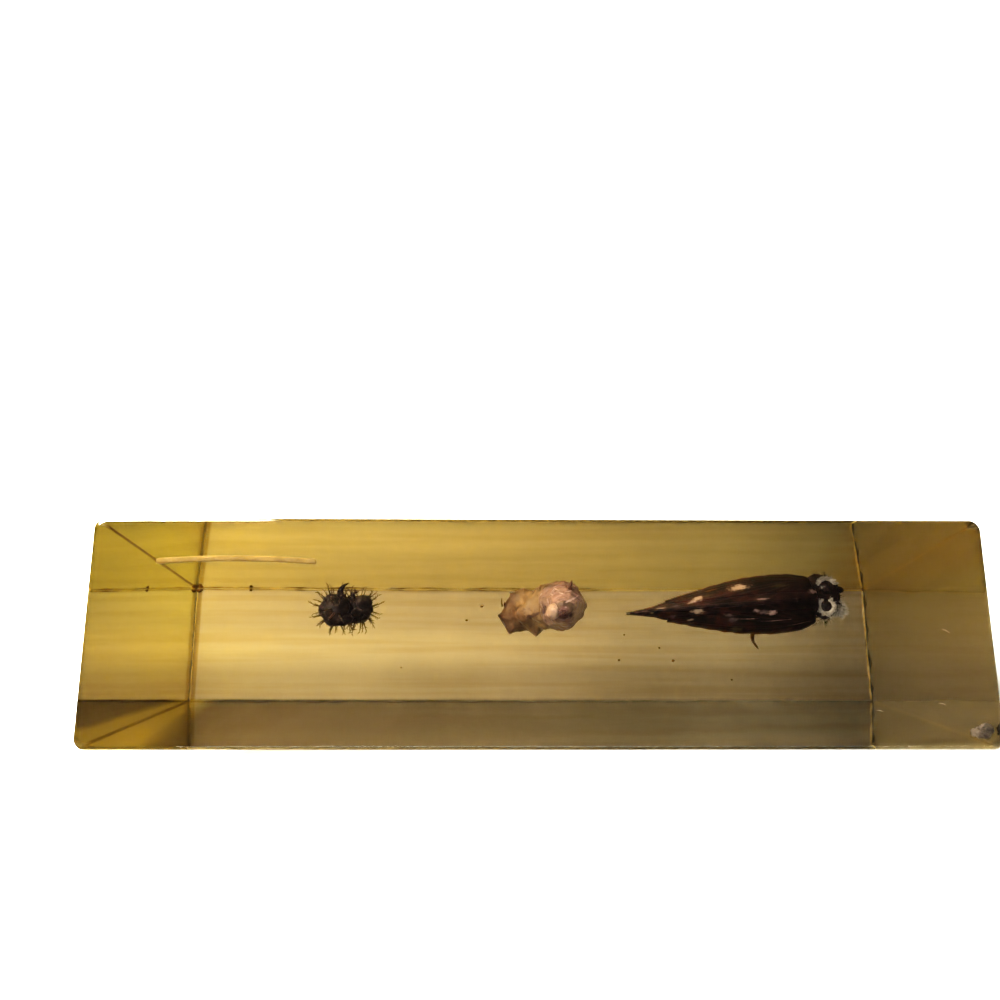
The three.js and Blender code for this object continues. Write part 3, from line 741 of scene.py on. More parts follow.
def makeChrysalisCase(spec, caseLength):
    material, tree, shader = startMaterial("chrysalisCase", {"IOR": 1.5, "Specular IOR Level": 0.12})
    surface = addNode(tree, "ShaderNodeUVMap", uv_map="surface")
    along = addNode(tree, "ShaderNodeSeparateXYZ", {0: surface.outputs[0]}).outputs[0]
    ramp = addNode(tree, "ShaderNodeValToRGB", {0: along})
    stops = ((0.0, spec["core"]), (0.045, spec["core"]), (0.075, spec["pink"]), (0.16, spec["mauve"]),
             (0.27, spec["pink"]), (0.38, spec["tan"]), (0.46, spec["brown"]), (0.53, spec["tan"]),
             (0.78, spec["brown"]), (1.0, spec["darkBrown"]))
    while len(ramp.color_ramp.elements) < len(stops):
        ramp.color_ramp.elements.new(0.5)
    for element, (place, colour) in zip(ramp.color_ramp.elements, stops):
        element.position = place
        element.color = (*colour, 1)
    # pale lips on the rings of the abdomen
    turns = addMath(tree, "MULTIPLY", along, caseLength / spec["ringSpacing"] * 6.2832)
    lipLevel = addRange(tree, addMath(tree, "COSINE", turns), 0.2, 0.95)
    lips = addMath(tree, "MULTIPLY", lipLevel, addRange(tree, along, 0.30, 0.40, 1.0, 0.0))
    patches = useGroup(tree, "drift", {"Scale": 420.0, "Low": 0.42, "High": 0.6}).outputs[0]
    flecks = useGroup(tree, "drift", {"Scale": 2100.0, "Low": 0.5, "High": 0.66, "Shift": (0.4, 0, 0)})
    broken = useGroup(tree, "drift", {"Scale": 700.0, "Low": 0.42, "High": 0.58, "Shift": (0, 0.7, 0)})
    torn = addMath(tree, "MULTIPLY", lips, broken.outputs[0])
    colour = mixColour(tree, torn, ramp.outputs[0], spec["pink"])
    colour = mixColour(tree, addMath(tree, "MULTIPLY", patches, 0.35), colour, spec["tan"])
    colour = mixColour(tree, addMath(tree, "MULTIPLY", flecks.outputs[0], 0.5), colour, spec["darkBrown"])
    place = addNode(tree, "ShaderNodeTexCoord").outputs["Object"]
    fromAbove = addVector(tree, "MULTIPLY", place, (1, 1, 0))
    level = addNode(tree, "ShaderNodeSeparateXYZ", {0: place}).outputs[2]
    upper = addSpan(tree, level, spec["stainAndHighlightLevels"])
    # stains, and glints painted in as highlights
    for x, y, sizeX, sizeY, turn, word, strength in spec["stainsAndHighlights"]:
        stainHighlightSpot = useGroup(tree, "spot", {"Place": fromAbove, "Centre": (x * mm, y * mm, 0),
                                        "Size": (sizeX / 2 * 1.2 * mm, sizeY / 2 * 1.2 * mm, 1), "Turn": turn,
                                        "Softness": 0.6, "Ragged": 1.1})
        share = addMath(tree, "MULTIPLY", addMath(tree, "MULTIPLY", stainHighlightSpot.outputs[0], strength), upper)
        colour = mixColour(tree, share, colour, spec[word])
    tree.links.new(colour, shader.inputs["Base Color"])
    tree.links.new(addRange(tree, patches, 0.0, 1.0, 0.3, 0.5), shader.inputs["Roughness"])
    addGrain(tree, shader, 2600.0, 0.5, 0.0001)
    return material


def makePlain(name, colours, scale, fixed, depth=0.00006):
    # dull or shiny skin of two close tones with a fine grain
    material, tree, shader = startMaterial(name, fixed)
    drift = useGroup(tree, "drift", {"Scale": scale, "Low": 0.38, "High": 0.62})
    tree.links.new(mixColour(tree, drift.outputs[0], *colours), shader.inputs["Base Color"])
    addGrain(tree, shader, scale * 3.5, 0.6, depth)
    return material


def makeChrysalis(spec):
    path, length = smoothPath(spec["line"], 200)

    def radiusAt(share, angle):
        distance = share * length
        abdomen = min(1.0, math.sqrt(max(distance, 0.02) / 4.4))
        head = min(1.0, ((length - distance + 0.25) / 4.6) ** 0.6)
        ringed = 0.0
        if distance < spec["ringedLength"]:
            saw = (distance / spec["ringSpacing"]) % 1.0
            ringed = spec["ringDepth"] * (1 - 2 * saw) * min(1.0, (spec["ringedLength"] - distance) / 0.8)
        waist = 0.07 * math.exp(-((distance - spec["waistAt"]) / 1.1) ** 2)
        keel = 0.0
        if distance > 8:
            keel = 0.06 * math.cos(4 * angle + 0.9) * min(1.0, (distance - 8) / 2)
        dents = 0.035 * noise.noise(Vector((math.cos(angle) * 1.4, math.sin(angle) * 1.4, distance * 0.35)))
        slim = 1 - (1 - spec["slim"]) * min(1.0, max(0.0, (distance - 6.0) / 1.6))
        return spec["radius"] * abdomen * head * slim * (1 + ringed - waist + keel + dents)

    rings = pathRings(path, radiusAt, 64, Vector((0.3, 1, 0.1)).normalized())
    # crumpled by drying
    for ring in rings:
        for place, point in enumerate(ring):
            slow, quick = noiseVector(point * 0.55), noiseVector(point * 1.5)
            ring[place] = point + slow * spec["crumple"] + quick * spec["crumple"] * 0.35
    # the skin is drawn out to each corner from the nearest point of it
    for *corner, spread in spec["corners"]:
        corner = Vector(corner)
        nearest = min((point for ring in rings for point in ring), key=lambda point: (point - corner).length)
        reach = corner - nearest
        nearest = nearest.copy()
        for ring in rings:
            for place, point in enumerate(ring):
                share = 1 - (point - nearest).length / (spread + reach.length)
                if share > 0:
                    ring[place] = point + reach * share ** 1.6
    addPiece("chrysalis_body", loftFaces(rings), makeChrysalisCase(spec, length), "chrysalis_case",
             "chrysalis", mapped=True)

    extras = [tubeSkin(spec["spike"], (0.6, 0.32, 0.06), 12, 16, 0.2),
              blobSkin((3.3, 3.1, 36.55), (0.5, 0.42, 0.35), 14, 18, 0.7, 3.0)]
    extras += [tubeSkin(line, radii, 10, 14, 0.3) for line, radii in zip(spec["barbs"], spec["barbRadii"])]
    addPiece("chrysalis_spikes", joinSkins(extras), makePlain("darkSpike", *spec["darkSpike"]),
             "chrysalis_case", "chrysalis")
    size = spec["beadRadius"]
    addPiece("chrysalis_bead", blobSkin(spec["bead"], (size, size * 1.15, size), 22, 30, 0.12, 2.0),
             makePlain("pearlBead", *spec["pearlBead"]), "chrysalis_case", "chrysalis")


makeChrysalis(chrysalisLook)
print("chrysalis made")


# butterfly: wings folded over its back; its own frame runs from wing tip to head

butterflyLook = {
    "place": (12.95, 3.05, 31.0), "turn": 4.6, "length": 34.3,
    # along the body: x, top of the folded wings, lower margin, half width; "root" is where the veins meet
    "stations": ((0.0, 4.8, 4.3, 0.16), (2.1, 5.4, 3.8, 0.42), (4.2, 5.9, 3.0, 0.75),
                 (6.7, 6.2, 2.2, 1.45), (9.1, 6.3, 1.4, 2.05), (11.4, 6.3, 0.7, 2.6),
                 (13.8, 6.1, 0.2, 3.15), (16.2, 5.9, -0.3, 3.65), (18.6, 5.6, -0.6, 4.0),
                 (21.0, 5.2, -0.8, 4.2), (23.4, 4.8, -0.9, 4.3), (25.7, 4.2, -0.8, 4.2),
                 (28.1, 3.3, -0.4, 3.8), (29.5, 2.6, 0.0, 3.45)),
    "foreSpan": (0.0, 29.5), "hindSpan": (6.2, 29.0),
    "columns": 150, "rows": 34, "sheet": 0.12, "lift": 0.15, "scallop": 0.035,
    "root": 29.2, "veins": 9, "veinWidth": 0.13, "veinHeight": 0.05,
    "wingDark": (0.0022, 0.0009, 0.0009), "wingBrown": (0.022, 0.0058, 0.0046),
    "amber": (0.085, 0.030, 0.003),
    "cream": (0.36, 0.245, 0.165), "olive": (0.045, 0.034, 0.014), "mauve": (0.075, 0.050, 0.050),
    "pinkish": (0.26, 0.16, 0.14), "veinColour": (0.018, 0.007, 0.005),
    # pale marks: place along and across from above, size along and across, turn, colour, strength
    "marks": ((17.6, 2.44, 3.2, 1.0, 0.12, "cream", 0.75), (10.9, 1.15, 1.7, 0.7, 0.15, "cream", 0.65),
              (10.0, 0.75, 1.4, 0.5, 0.3, "cream", 0.5), (4.9, 0.18, 1.5, 0.4, 0.1, "cream", 0.5),
              (10.5, -0.40, 2.0, 0.65, 0.0, "cream", 0.8), (9.57, -1.36, 0.9, 0.35, 0.3, "cream", 0.6),
              (9.75, -1.86, 0.7, 0.3, 0.3, "olive", 0.9), (3.7, -0.15, 0.7, 0.25, 0.0, "cream", 0.45),
              (20.5, 0.42, 2.0, 0.35, 0.2, "pinkish", 0.4), (19.5, -0.92, 1.1, 0.45, 0.0, "pinkish", 0.6),
              (21.9, -1.34, 1.5, 0.6, 0.2, "pinkish", 0.8), (20.6, -1.15, 1.6, 0.5, 0.0, "mauve", 0.6),
              (15.9, -1.85, 1.6, 0.7, -0.1, "mauve", 0.6), (15.3, -1.2, 1.8, 0.35, -0.15, "mauve", 0.6),
              (16.8, -3.2, 2.2, 0.6, -0.1, "olive", 0.7), (17.8, -1.85, 4.2, 0.10, -0.11, "pinkish", 0.45),
              (22.6, -2.42, 4.6, 0.09, -0.14, "pinkish", 0.5),
              (26.6, -3.05, 3.6, 0.09, -0.12, "pinkish", 0.35),
              (12.6, 1.5, 1.4, 0.5, 0.1, "olive", 0.55), (7.4, 0.35, 1.2, 0.4, 0.1, "mauve", 0.4),
              (24.0, 2.2, 3.0, 0.5, 0.0, "olive", 0.3), (6.9, -0.8, 1.1, 0.3, 0.0, "mauve", 0.45),
              (13.0, -0.1, 1.6, 0.25, 0.1, "mauve", 0.4), (13.4, 2.35, 2.2, 0.3, 0.15, "amber", 0.5),
              (28.9, 1.05, 1.5, 0.6, 0.2, "pinkish", 0.45)),
    "eyes": ((31.2, 1.75, 0.7), (30.72, -1.15, 0.8)), "eyeRadius": 1.3,
    # plain skins: two tones, scale of their blotches, even values, depth of the grain
    "bodySkin": (((0.0022, 0.0010, 0.0010), (0.012, 0.005, 0.004)), 800.0,
                 {"Roughness": 0.6, "Specular IOR Level": 0.05}, 0.00012),
    "legSkin": (((0.004, 0.0018, 0.0015), (0.018, 0.007, 0.004)), 1200.0,
                {"Roughness": 0.45, "Specular IOR Level": 0.06}),
    "amberLeg": (((0.040, 0.015, 0.003), (0.13, 0.055, 0.012)), 700.0,
                 {"Roughness": 0.4, "Specular IOR Level": 0.1}),
    "eyeSkin": (((0.003, 0.0014, 0.0016), (0.015, 0.008, 0.008)), 1600.0,
                {"Roughness": 0.25, "Specular IOR Level": 0.25}),
    "paleScales": (((0.15, 0.13, 0.115), (0.33, 0.295, 0.265)), 1500.0,
                   {"Roughness": 0.5, "Specular IOR Level": 0.1}),
    "darkFur": (((0.002, 0.001, 0.001), (0.010, 0.005, 0.004)), 900.0,
                {"Roughness": 0.7, "Specular IOR Level": 0.05}),
    "greyFur": (((0.34, 0.31, 0.28), (0.74, 0.69, 0.65)), 1300.0,
                {"Roughness": 0.65, "Specular IOR Level": 0.08}),
    # thorax, head and palps: centre, size, rows, columns, roughness, seed
    "lumps": (((27.0, 0, 0.1), (3.5, 2.85, 2.4), 26, 36, 0.12, 3.0),
              ((30.9, 0.55, -0.3), (2.6, 3.35, 1.75), 26, 36, 0.15, 7.0),
              ((30.2, 1.9, -0.1), (1.7, 2.1, 1.5), 20, 28, 0.2, 4.0)),
    "palps": (((33.0, -1.65, -0.2), (1.2, 0.72, 0.7), 14, 20, 0.3, 8.0),
              ((33.1, 1.3, -0.4), (1.1, 0.6, 0.6), 14, 20, 0.3, 12.0)),
    "ridge": ((0.6, 0, 4.55), (3.0, 0, 5.45), (6.7, 0, 5.95), (11.4, 0, 6.05), (18.6, 0, 5.35),
              (26.0, 0, 3.9)),
    "ridgeRadii": (0.12, 0.26, 0.3, 0.3, 0.3, 0.3, 0.3), "abdomenRadius": 1.9, "abdomenRings": 7,
    # limbs that both sides have, then single ones: points, radii, sides, steps, roughness
    "limbs": ((((30.0, 1.0, -1.6), (31.2, 1.9, -3.0), (29.6, 1.5, -4.2)),
               (0.38, 0.3, 0.28, 0.18), 10, 24, 0.25),
              (((28.3, 1.0, -1.8), (27.4, 2.4, -3.2), (25.8, 1.9, -4.4)),
               (0.38, 0.3, 0.28, 0.16), 10, 24, 0.25),
              (((33.0, 0.8, 0.8), (33.9, 1.5, -1.4), (31.4, 2.3, -3.6), (26.4, 2.5, -4.2), (23.0, 2.4, -3.9)),
               (0.16, 0.13, 0.13, 0.13, 0.14, 0.16, 0.34, 0.3), 9, 60, 0.1)),
    "hindLeg": (((26.4, 0.9, -1.8), (23.4, 2.2, -3.4), (21.0, 1.8, -3.2)),
                (0.38, 0.3, 0.26, 0.14), 10, 24, 0.25),
    "hookedLeg": (((26.6, -1.2, -1.6), (23.4, -2.7, -3.2), (20.2, -3.8, -2.6), (19.55, -5.2, -1.8),
                   (20.1, -6.55, -1.4)), (0.43, 0.36, 0.34, 0.36, 0.28, 0.10), 12, 60, 0.3),
    # rings about the eyes: which eye, where the arc starts, how far it runs (degrees), radius
    "eyeRings": ((1, 108, 316, 1.06), (0, 14, 150, 1.28)),
    "whitePalp": ((33.25, -1.8, 0.1), (0.55, 0.95, 0.7), 18, 24, 0.35, 5.0), "palpHairs": 170,
    # fur on thorax and head and a dark tuft, then grey tufts below the head and on the palps
    "darkTufts": (((27.0, 0, 0.1), (3.5, 2.85, 2.4), 600), ((30.9, 0.55, -0.3), (2.6, 3.35, 1.75), 420),
                  ((29.7, -2.7, -0.5), (1.9, 0.8, 1.0), 150)),
    "paleTufts": (((31.0, -2.2, -0.8), (2.3, 1.2, 1.2), 80), ((33.1, -1.6, -0.1), (0.95, 1.1, 0.8), 330)),
    "darkHair": {"length": 0.95, "radius": 0.045, "branches": 1, "branchLength": 0.02, "bend": 0.25,
                 "flat": 0.5, "seed": 8},
    "paleHair": {"length": 1.0, "radius": 0.05, "branches": 1, "branchLength": 0.02, "bend": 0.3,
                 "flat": 0.4, "seed": 5},
    "eyeScales": {"length": 0.42, "radius": 0.11, "branches": 1, "branchLength": 0.02, "bend": 0.05,
                  "flat": 0.35, "seed": 2},
}


def toBar(point):
    # from the butterfly's own frame into the bar's
    turn = math.radians(butterflyLook["turn"])
    x, y, z = point
    place = butterflyLook["place"]
    return Vector((place[0] + x * math.cos(turn) - y * math.sin(turn),
                   place[1] + x * math.sin(turn) + y * math.cos(turn), place[2] + z))


def skinToBar(skin):
    points, faces, uvs = skin
    return [toBar(point) for point in points], faces, uvs


def wingShape(x):
    stations = butterflyLook["stations"]
    x = min(max(x, 0.0), stations[-1][0])
    for low, high in zip(stations, stations[1:]):
        if x <= high[0]:
            share = (x - low[0]) / (high[0] - low[0])
            share = share * share * (3 - 2 * share) * 0.35 + share * 0.65
            return [low[part] + (high[part] - low[part]) * share for part in (1, 2, 3)]


def wingPoint(x, rise, side, lift):
    top, low, halfWidth = wingShape(x)
    spread = halfWidth * (1 - max(rise, 0) ** 1.5)
    bulge = 0.05 * noise.noise(Vector((x * 0.4, rise * 2.3, side)))
    return Vector((x, side * max(spread + lift + bulge * min(1, spread), 0.02), low + (top - low) * rise))


def veinMask(x, rise, spec):
    # thin lines that fan out from the wing root
    height, run, count = (rise - 0.42) * 7.5, spec["root"] - x, spec["veins"]
    angle = math.atan2(height, max(run, 0.01))
    reach = math.hypot(height, run)
    nearest = 0.0
    for vein in range(count):
        at = -0.42 + 0.88 * vein / (count - 1) + 0.03 * math.sin(vein * 2.7)
        nearest = max(nearest, math.exp(-((angle - at) * reach / spec["veinWidth"]) ** 2) * min(1, reach / 4))
    return nearest


def makeWing(name, side, span, lowRise, highRise, lift, spec):
    # a thin closed sheet that follows the folded wings, with raised veins and a scalloped margin
    columns, rows = spec["columns"], spec["rows"]
    points, veins, coordinates = [], [], []
    for layer in (1, 0):
        for column in range(columns + 1):
            x = span[0] + (span[1] - span[0]) * column / columns
            thin = min(1.0, wingShape(x)[2] / 1.2)
            margin = spec["scallop"] * (1 - math.cos(x * 2.6 + side)) * min(1, column / 12)
            margin += 0.28 * (max(0.0, x - 26.6) / 2.6) ** 2
            for row in range(rows + 1):
                share = row / rows
                bottom = lowRise(x) + margin
                rise = bottom + (highRise(x) - bottom) * share
                vein = veinMask(x, rise, spec)
                out = lift + (spec["sheet"] if layer else 0) + (spec["veinHeight"] * vein if layer else 0)
                points.append(toBar(wingPoint(x, rise, side, out * thin)))
                veins.append(vein)
                coordinates.append((x / spec["length"], side * (1 - rise)))
    count = (columns + 1) * (rows + 1)
    faces = []

    def corner(layer, column, row):
        return layer * count + column * (rows + 1) + row

    for column in range(columns):
        for row in range(rows):
            quad = [corner(0, column + right, row + up) for right, up in ((0, 0), (1, 0), (1, 1), (0, 1))]
            faces += [tuple(quad), tuple(index + count for index in reversed(quad))]
    for column in range(columns):
        a, b = corner(0, column, 0), corner(0, column + 1, 0)
        faces.append((b, a, a + count, b + count))
        a, b = corner(0, column, rows), corner(0, column + 1, rows)
        faces.append((a, b, b + count, a + count))
    for row in range(rows):
        a, b = corner(0, 0, row), corner(0, 0, row + 1)
        faces.append((a, b, b + count, a + count))
        a, b = corner(0, columns, row), corner(0, columns, row + 1)
        faces.append((b, a, a + count, b + count))
    if side > 0:
        faces = [tuple(reversed(face)) for face in faces]
    uvs = [[coordinates[index] for index in face] for face in faces]
    wing = makeObject(name, points, faces, uvs=uvs)
    layer = wing.data.attributes.new("vein", "FLOAT", "POINT")
    for index, value in enumerate(veins):
        layer.data[index].value = value
    return wing


def makeWingScales(spec):
    material, tree, shader = startMaterial("wingScales", {"Specular IOR Level": 0.04, "IOR": 1.5})
    surface = addNode(tree, "ShaderNodeUVMap", uv_map="surface").outputs[0]
    along, across = addNode(tree, "ShaderNodeSeparateXYZ", {0: surface}).outputs[:2]
    blotch = useGroup(tree, "drift", {"Scale": 520.0, "Stretch": (0.6, 1, 1), "Low": 0.42, "High": 0.66})
    dust = useGroup(tree, "drift", {"Scale": 5200.0, "Low": 0.45, "High": 0.75}).outputs[0]
    # brown towards the tips, near black at the roots
    tipward = addRange(tree, along, 0.42, 0.72, 1.0, 0.22)
    colour = mixColour(tree, addMath(tree, "MULTIPLY", blotch.outputs[0], tipward), spec["wingDark"],
                       spec["wingBrown"])
    colour = mixColour(tree, addMath(tree, "MULTIPLY", dust, 0.35), colour, spec["wingBrown"])
    vein = addNode(tree, "ShaderNodeAttribute", attribute_name="vein").outputs["Fac"]
    colour = mixColour(tree, addMath(tree, "MULTIPLY", vein, 0.45), colour, spec["veinColour"])
    # amber lower margin
    margin = addRange(tree, addMath(tree, "ABSOLUTE", across), 0.80, 0.97)
    fade = addRange(tree, along, 0.62, 0.80, 0.9, 0.1)
    colour = mixColour(tree, addMath(tree, "MULTIPLY", margin, fade), colour, spec["amber"])
    for x, y, sizeX, sizeY, turn, word, strength in spec["marks"]:
        halfWidth = wingShape(x)[2]
        rise = (1 - min(abs(y) / halfWidth, 0.98)) ** (2 / 3)
        height = sizeY / halfWidth / (1.5 * math.sqrt(rise))
        side = 1 if y > 0 else -1
        mark = useGroup(tree, "spot", {
            "Place": surface, "Centre": (x / spec["length"], side * (1 - rise), 0),
            "Size": (sizeX / 2 / spec["length"] * 1.25, height / 2 * 1.25, 1), "Turn": turn * 0.4,
            "Softness": 0.7, "Ragged": 1.5})
        colour = mixColour(tree, addMath(tree, "MULTIPLY", mark.outputs[0], strength), colour, spec[word])
    tree.links.new(colour, shader.inputs["Base Color"])
    tree.links.new(addRange(tree, dust, 0.0, 1.0, 0.45, 0.75), shader.inputs["Roughness"])
    addGrain(tree, shader, 7000.0, 0.6, 0.00005, (0.35, 1, 1))
    return material


def addInsect(name, skins, material):
    # a piece of the butterfly, given in its own frame
    addPiece(name, skinToBar(joinSkins(skins)), material, "butterfly_scales", "butterfly")


def makeWings(spec):
    scales = makeWingScales(spec)
    tip = spec["hindSpan"][0]
    for side, word in ((1, "far"), (-1, "near")):
        fore = makeWing("forewing_" + word, side, spec["foreSpan"],
                        lambda x: max(0.0, min(0.34, (x - 4) / 20)), lambda x: 1.0, 0.0, spec)
        hind = makeWing("hindwing_" + word, side, spec["hindSpan"], lambda x: 0.0,
                        lambda x: 0.80 - 0.35 * math.exp(-(x - tip) / 2.2), spec["lift"], spec)
        for wing in (fore, hind):
            wing.data.materials.append(scales)
            finishPiece(wing, "butterfly_scales", "butterfly")


def makeInsectBody(spec):
    skins = [blobSkin(*lump) for lump in spec["lumps"]]
    # the wing roots meet along this ridge
    skins.append(tubeSkin(spec["ridge"], spec["ridgeRadii"], 10, 90, 0.2))
    skins += [blobSkin(*lump) for lump in spec["palps"]]
    line = [(26 - 13.5 * step / 16, 0, 0.2 + 0.9 * (step / 16) ** 2) for step in range(17)]
    abdomen, _ = smoothPath(line, 120)

    def radiusAt(share, angle):
        ringed = 1 + 0.06 * abs(math.sin(math.pi * spec["abdomenRings"] * share))
        return spec["abdomenRadius"] * math.sqrt(max(1.01 - share * share, 0.01)) * ringed

    skins.append(loftFaces(pathRings(abdomen, radiusAt, 28, Vector((0, 0, 1)))))
    addInsect("butterfly_body", skins, makePlain("bodySkin", *spec["bodySkin"]))

    legs = [tubeSkin([(x, side * y, z) for x, y, z in points], *rest)
            for side in (1, -1) for points, *rest in spec["limbs"]]
    legs.append(tubeSkin(*spec["hindLeg"]))
    addInsect("butterfly_legs", legs, makePlain("legSkin", *spec["legSkin"]))
    hooked = [tubeSkin(*spec["hookedLeg"])]
    addInsect("butterfly_hooked_leg", hooked, makePlain("amberLeg", *spec["amberLeg"]))
    eyes = [blobSkin(eye, (spec["eyeRadius"],) * 3, 26, 36, 0.02, 4.0) for eye in spec["eyes"]]
    addInsect("butterfly_eyes", eyes, makePlain("eyeSkin", *spec["eyeSkin"]))


def anyWay(picker):
    return Vector((picker.gauss(0, 1), picker.gauss(0, 1), picker.gauss(0, 1))).normalized()


def makeEyeRings(spec, picker):
    # rings of pale scales about the eyes, open at one side
    anchors, arcs = [], []
    for eye, start, sweepBy, reach in spec["eyeRings"]:
        x, y, z = spec["eyes"][eye]
        line = []
        for step in range(31):
            angle = math.radians(start + sweepBy * step / 30)
            line.append((x + reach * math.cos(angle), y + reach * math.sin(angle), z + 0.95))
        arcs.append(tubeSkin(line, (0.10, 0.26, 0.30, 0.26, 0.30, 0.25, 0.08), 10, 60, 0.5))
        for step in range(150):
            angle = math.radians(start + sweepBy * picker.random())
            out = Vector((math.cos(angle), math.sin(angle), 0))
            off = picker.uniform(-0.2, 0.32)
            base = Vector((x, y, z + 1.12 - abs(off) * 0.5)) + out * (reach + off)
            steep = picker.uniform(0.3, 1.4)
            aside = Vector((picker.uniform(-0.6, 0.6), picker.uniform(-0.6, 0.6), 0.7))
            anchors.append((toBar(base), (out * steep + aside).normalized(), picker.uniform(0.7, 1.3)))
    # soft white palp beside the mouth
    arcs.append(blobSkin(*spec["whitePalp"]))
    x, y, z = spec["whitePalp"][0]
    for _ in range(spec["palpHairs"]):
        way = anyWay(picker)
        root = toBar(Vector((x + way.x * 0.5, y + way.y * 0.88, z + way.z * 0.62)))
        anchors.append((root, way, picker.uniform(0.6, 1.1)))
    paleScale = makePlain("paleScales", *spec["paleScales"])
    addInsect("butterfly_eye_rings", arcs, paleScale)
    ringScales = growBristles("butterfly_eye_scales", anchors, spec["eyeScales"], paleScale)
    finishPiece(ringScales, "butterfly_scales", "butterfly")


def furRoots(picker, tufts, share, comb, sizes):
    # hairs all over some lumps, combed one way
    anchors = []
    for centre, size, number in tufts:
        for _ in range(number):
            way = anyWay(picker)
            root = Vector(centre) + Vector((way.x * size[0], way.y * size[1], way.z * size[2])) * share
            anchors.append((toBar(root), (way + Vector(comb)).normalized(), picker.uniform(*sizes)))
    return anchors


def makeFur(spec, picker):
    dark = furRoots(picker, spec["darkTufts"], 0.97, (-0.7, 0, 0.1), (0.6, 1.15))
    pale = furRoots(picker, spec["paleTufts"], 0.9, (-0.3, -0.4, 0), (0.5, 1.1))
    for name, anchors, hair, colour in (("butterfly_dark_fur", dark, "darkHair", "darkFur"),
                                        ("butterfly_pale_fur", pale, "paleHair", "greyFur")):
        fur = growBristles(name, anchors, spec[hair], makePlain(colour, *spec[colour]))
        finishPiece(fur, "butterfly_scales", "butterfly")


makeWings(butterflyLook)
makeInsectBody(butterflyLook)
furPicker = random.Random(23)
makeEyeRings(butterflyLook, furPicker)
makeFur(butterflyLook, furPicker)
print("butterfly made")


# pale strip cast in beside the larva

paleStrip = {"place": (-45.7, 10.95, 33.5), "length": 24.0, "width": 0.96, "height": 0.76, "bow": 0.45,
             "steps": 96, "stripSkin": (((0.115, 0.079, 0.024), (0.155, 0.110, 0.042)), 350.0,
                                        {"Roughness": 0.45, "Specular IOR Level": 0.1})}


def makeStrip(spec):
    rings = []
    for step in range(spec["steps"] + 1):
        share = 2 * step / spec["steps"] - 1
        shift = (share * spec["length"] / 2, spec["bow"] * (1 - share * share), 0)
        centre = Vector(spec["place"]) + Vector(shift)
        fray = 1 - 0.35 * max(0, abs(share) - 0.97) / 0.03
        ring = []
        for corner in range(16):
            angle = 2 * math.pi * corner / 16
            squared = 1 / max(abs(math.cos(angle)), abs(math.sin(angle))) ** 0.72
            rough = 1 + 0.05 * noise.noise(Vector((share * 30, angle, 0.5)))
            across, up = math.cos(angle) * spec["width"] / 2, math.sin(angle) * spec["height"] / 2
            ring.append(centre + Vector((0, across * 0.98, up * 0.98)) * squared * 0.95 * fray * rough)
        rings.append(ring)
    addPiece("cast_strip", loftFaces(rings), makePlain("stripSkin", *spec["stripSkin"]), "strip",
             "pale_strip", mapped=True)


makeStrip(paleStrip)
print("strip made")


# what was cast in or marked the bar: dust, a crumb at one corner, scuffs under the polish

barFlaws = {
    # dark dust: place and size
    "dust": ((-8.6, 4.5, 30.0, 0.22), (-10.9, 2.5, 28.0, 0.16), (20.4, -3.7, 30.0, 0.21),
             (12.2, -3.6, 30.0, 0.15), (13.3, 0.3, 28.0, 0.12), (18.9, -1.6, 26.0, 0.14),
             (-57.6, 9.15, 0.36, 0.34), (-57.2, 9.3, 0.22, 0.18), (-48.9, 10.1, 0.6, 0.28),
             (-48.7, 9.3, 0.6, 0.25), (30.2, -6.4, 24.0, 0.12), (-20.5, -4.8, 33.0, 0.1)),
    # pale crumb with bits round it
    "crumb": ((62.8, -13.9, 40.9, 1.0), (62.0, -14.1, 40.7, 0.8), (63.5, -13.6, 41.0, 0.75),
              (61.5, -13.9, 40.6, 0.5), (62.9, -13.3, 41.2, 0.6), (63.2, -14.3, 41.3, 0.5)),
    # scuffs: start and end
    "scuffs": (((57.3, 0.4, 43.85), (58.5, -0.2, 43.85)), ((55.8, -10.0, 43.85), (56.9, -10.3, 43.85)),
               ((46.9, -11.0, 43.85), (47.9, -11.2, 43.85)), ((-22.0, 6.0, 43.9), (-20.9, 6.1, 43.9))),
    # lower edges: dark stretches along the back one, and a pale line along the right one that is a painted
    # highlight
    "edgeDarkLines": ((-58.0, -44.0, 0.06), (-44.5, -27.0, 0.11), (-25.5, -14.0, 0.07), (-12.0, 2.0, 0.08),
                  (5.5, 12.0, 0.05)),
    "edgeHighlight": (57.9, 9.3, 0.13),
    # plain skins: two tones, scale of their blotches, even values
    "dustColour": (((0.040, 0.020, 0.008), (0.10, 0.052, 0.020)), 900.0,
                   {"Roughness": 0.6, "Specular IOR Level": 0.08}),
    "crumbColour": (((0.055, 0.038, 0.024), (0.13, 0.097, 0.066)), 900.0,
                    {"Roughness": 0.6, "Specular IOR Level": 0.08}),
    "scuffColour": (((0.06, 0.05, 0.035), (0.11, 0.09, 0.07)), 900.0, {"Roughness": 0.6}),
    "edgeDarkColour": (((0.07, 0.034, 0.012), (0.16, 0.085, 0.03)), 700.0,
                    {"Roughness": 0.7, "Specular IOR Level": 0.1}),
    "edgeHighlightColour": (((0.70, 0.60, 0.42), (0.92, 0.86, 0.72)), 700.0, {"Roughness": 0.6}),
}


def addFlaw(name, skins, word, spec):
    addPiece(name, joinSkins(skins), makePlain(word, *spec[word]), "resin")


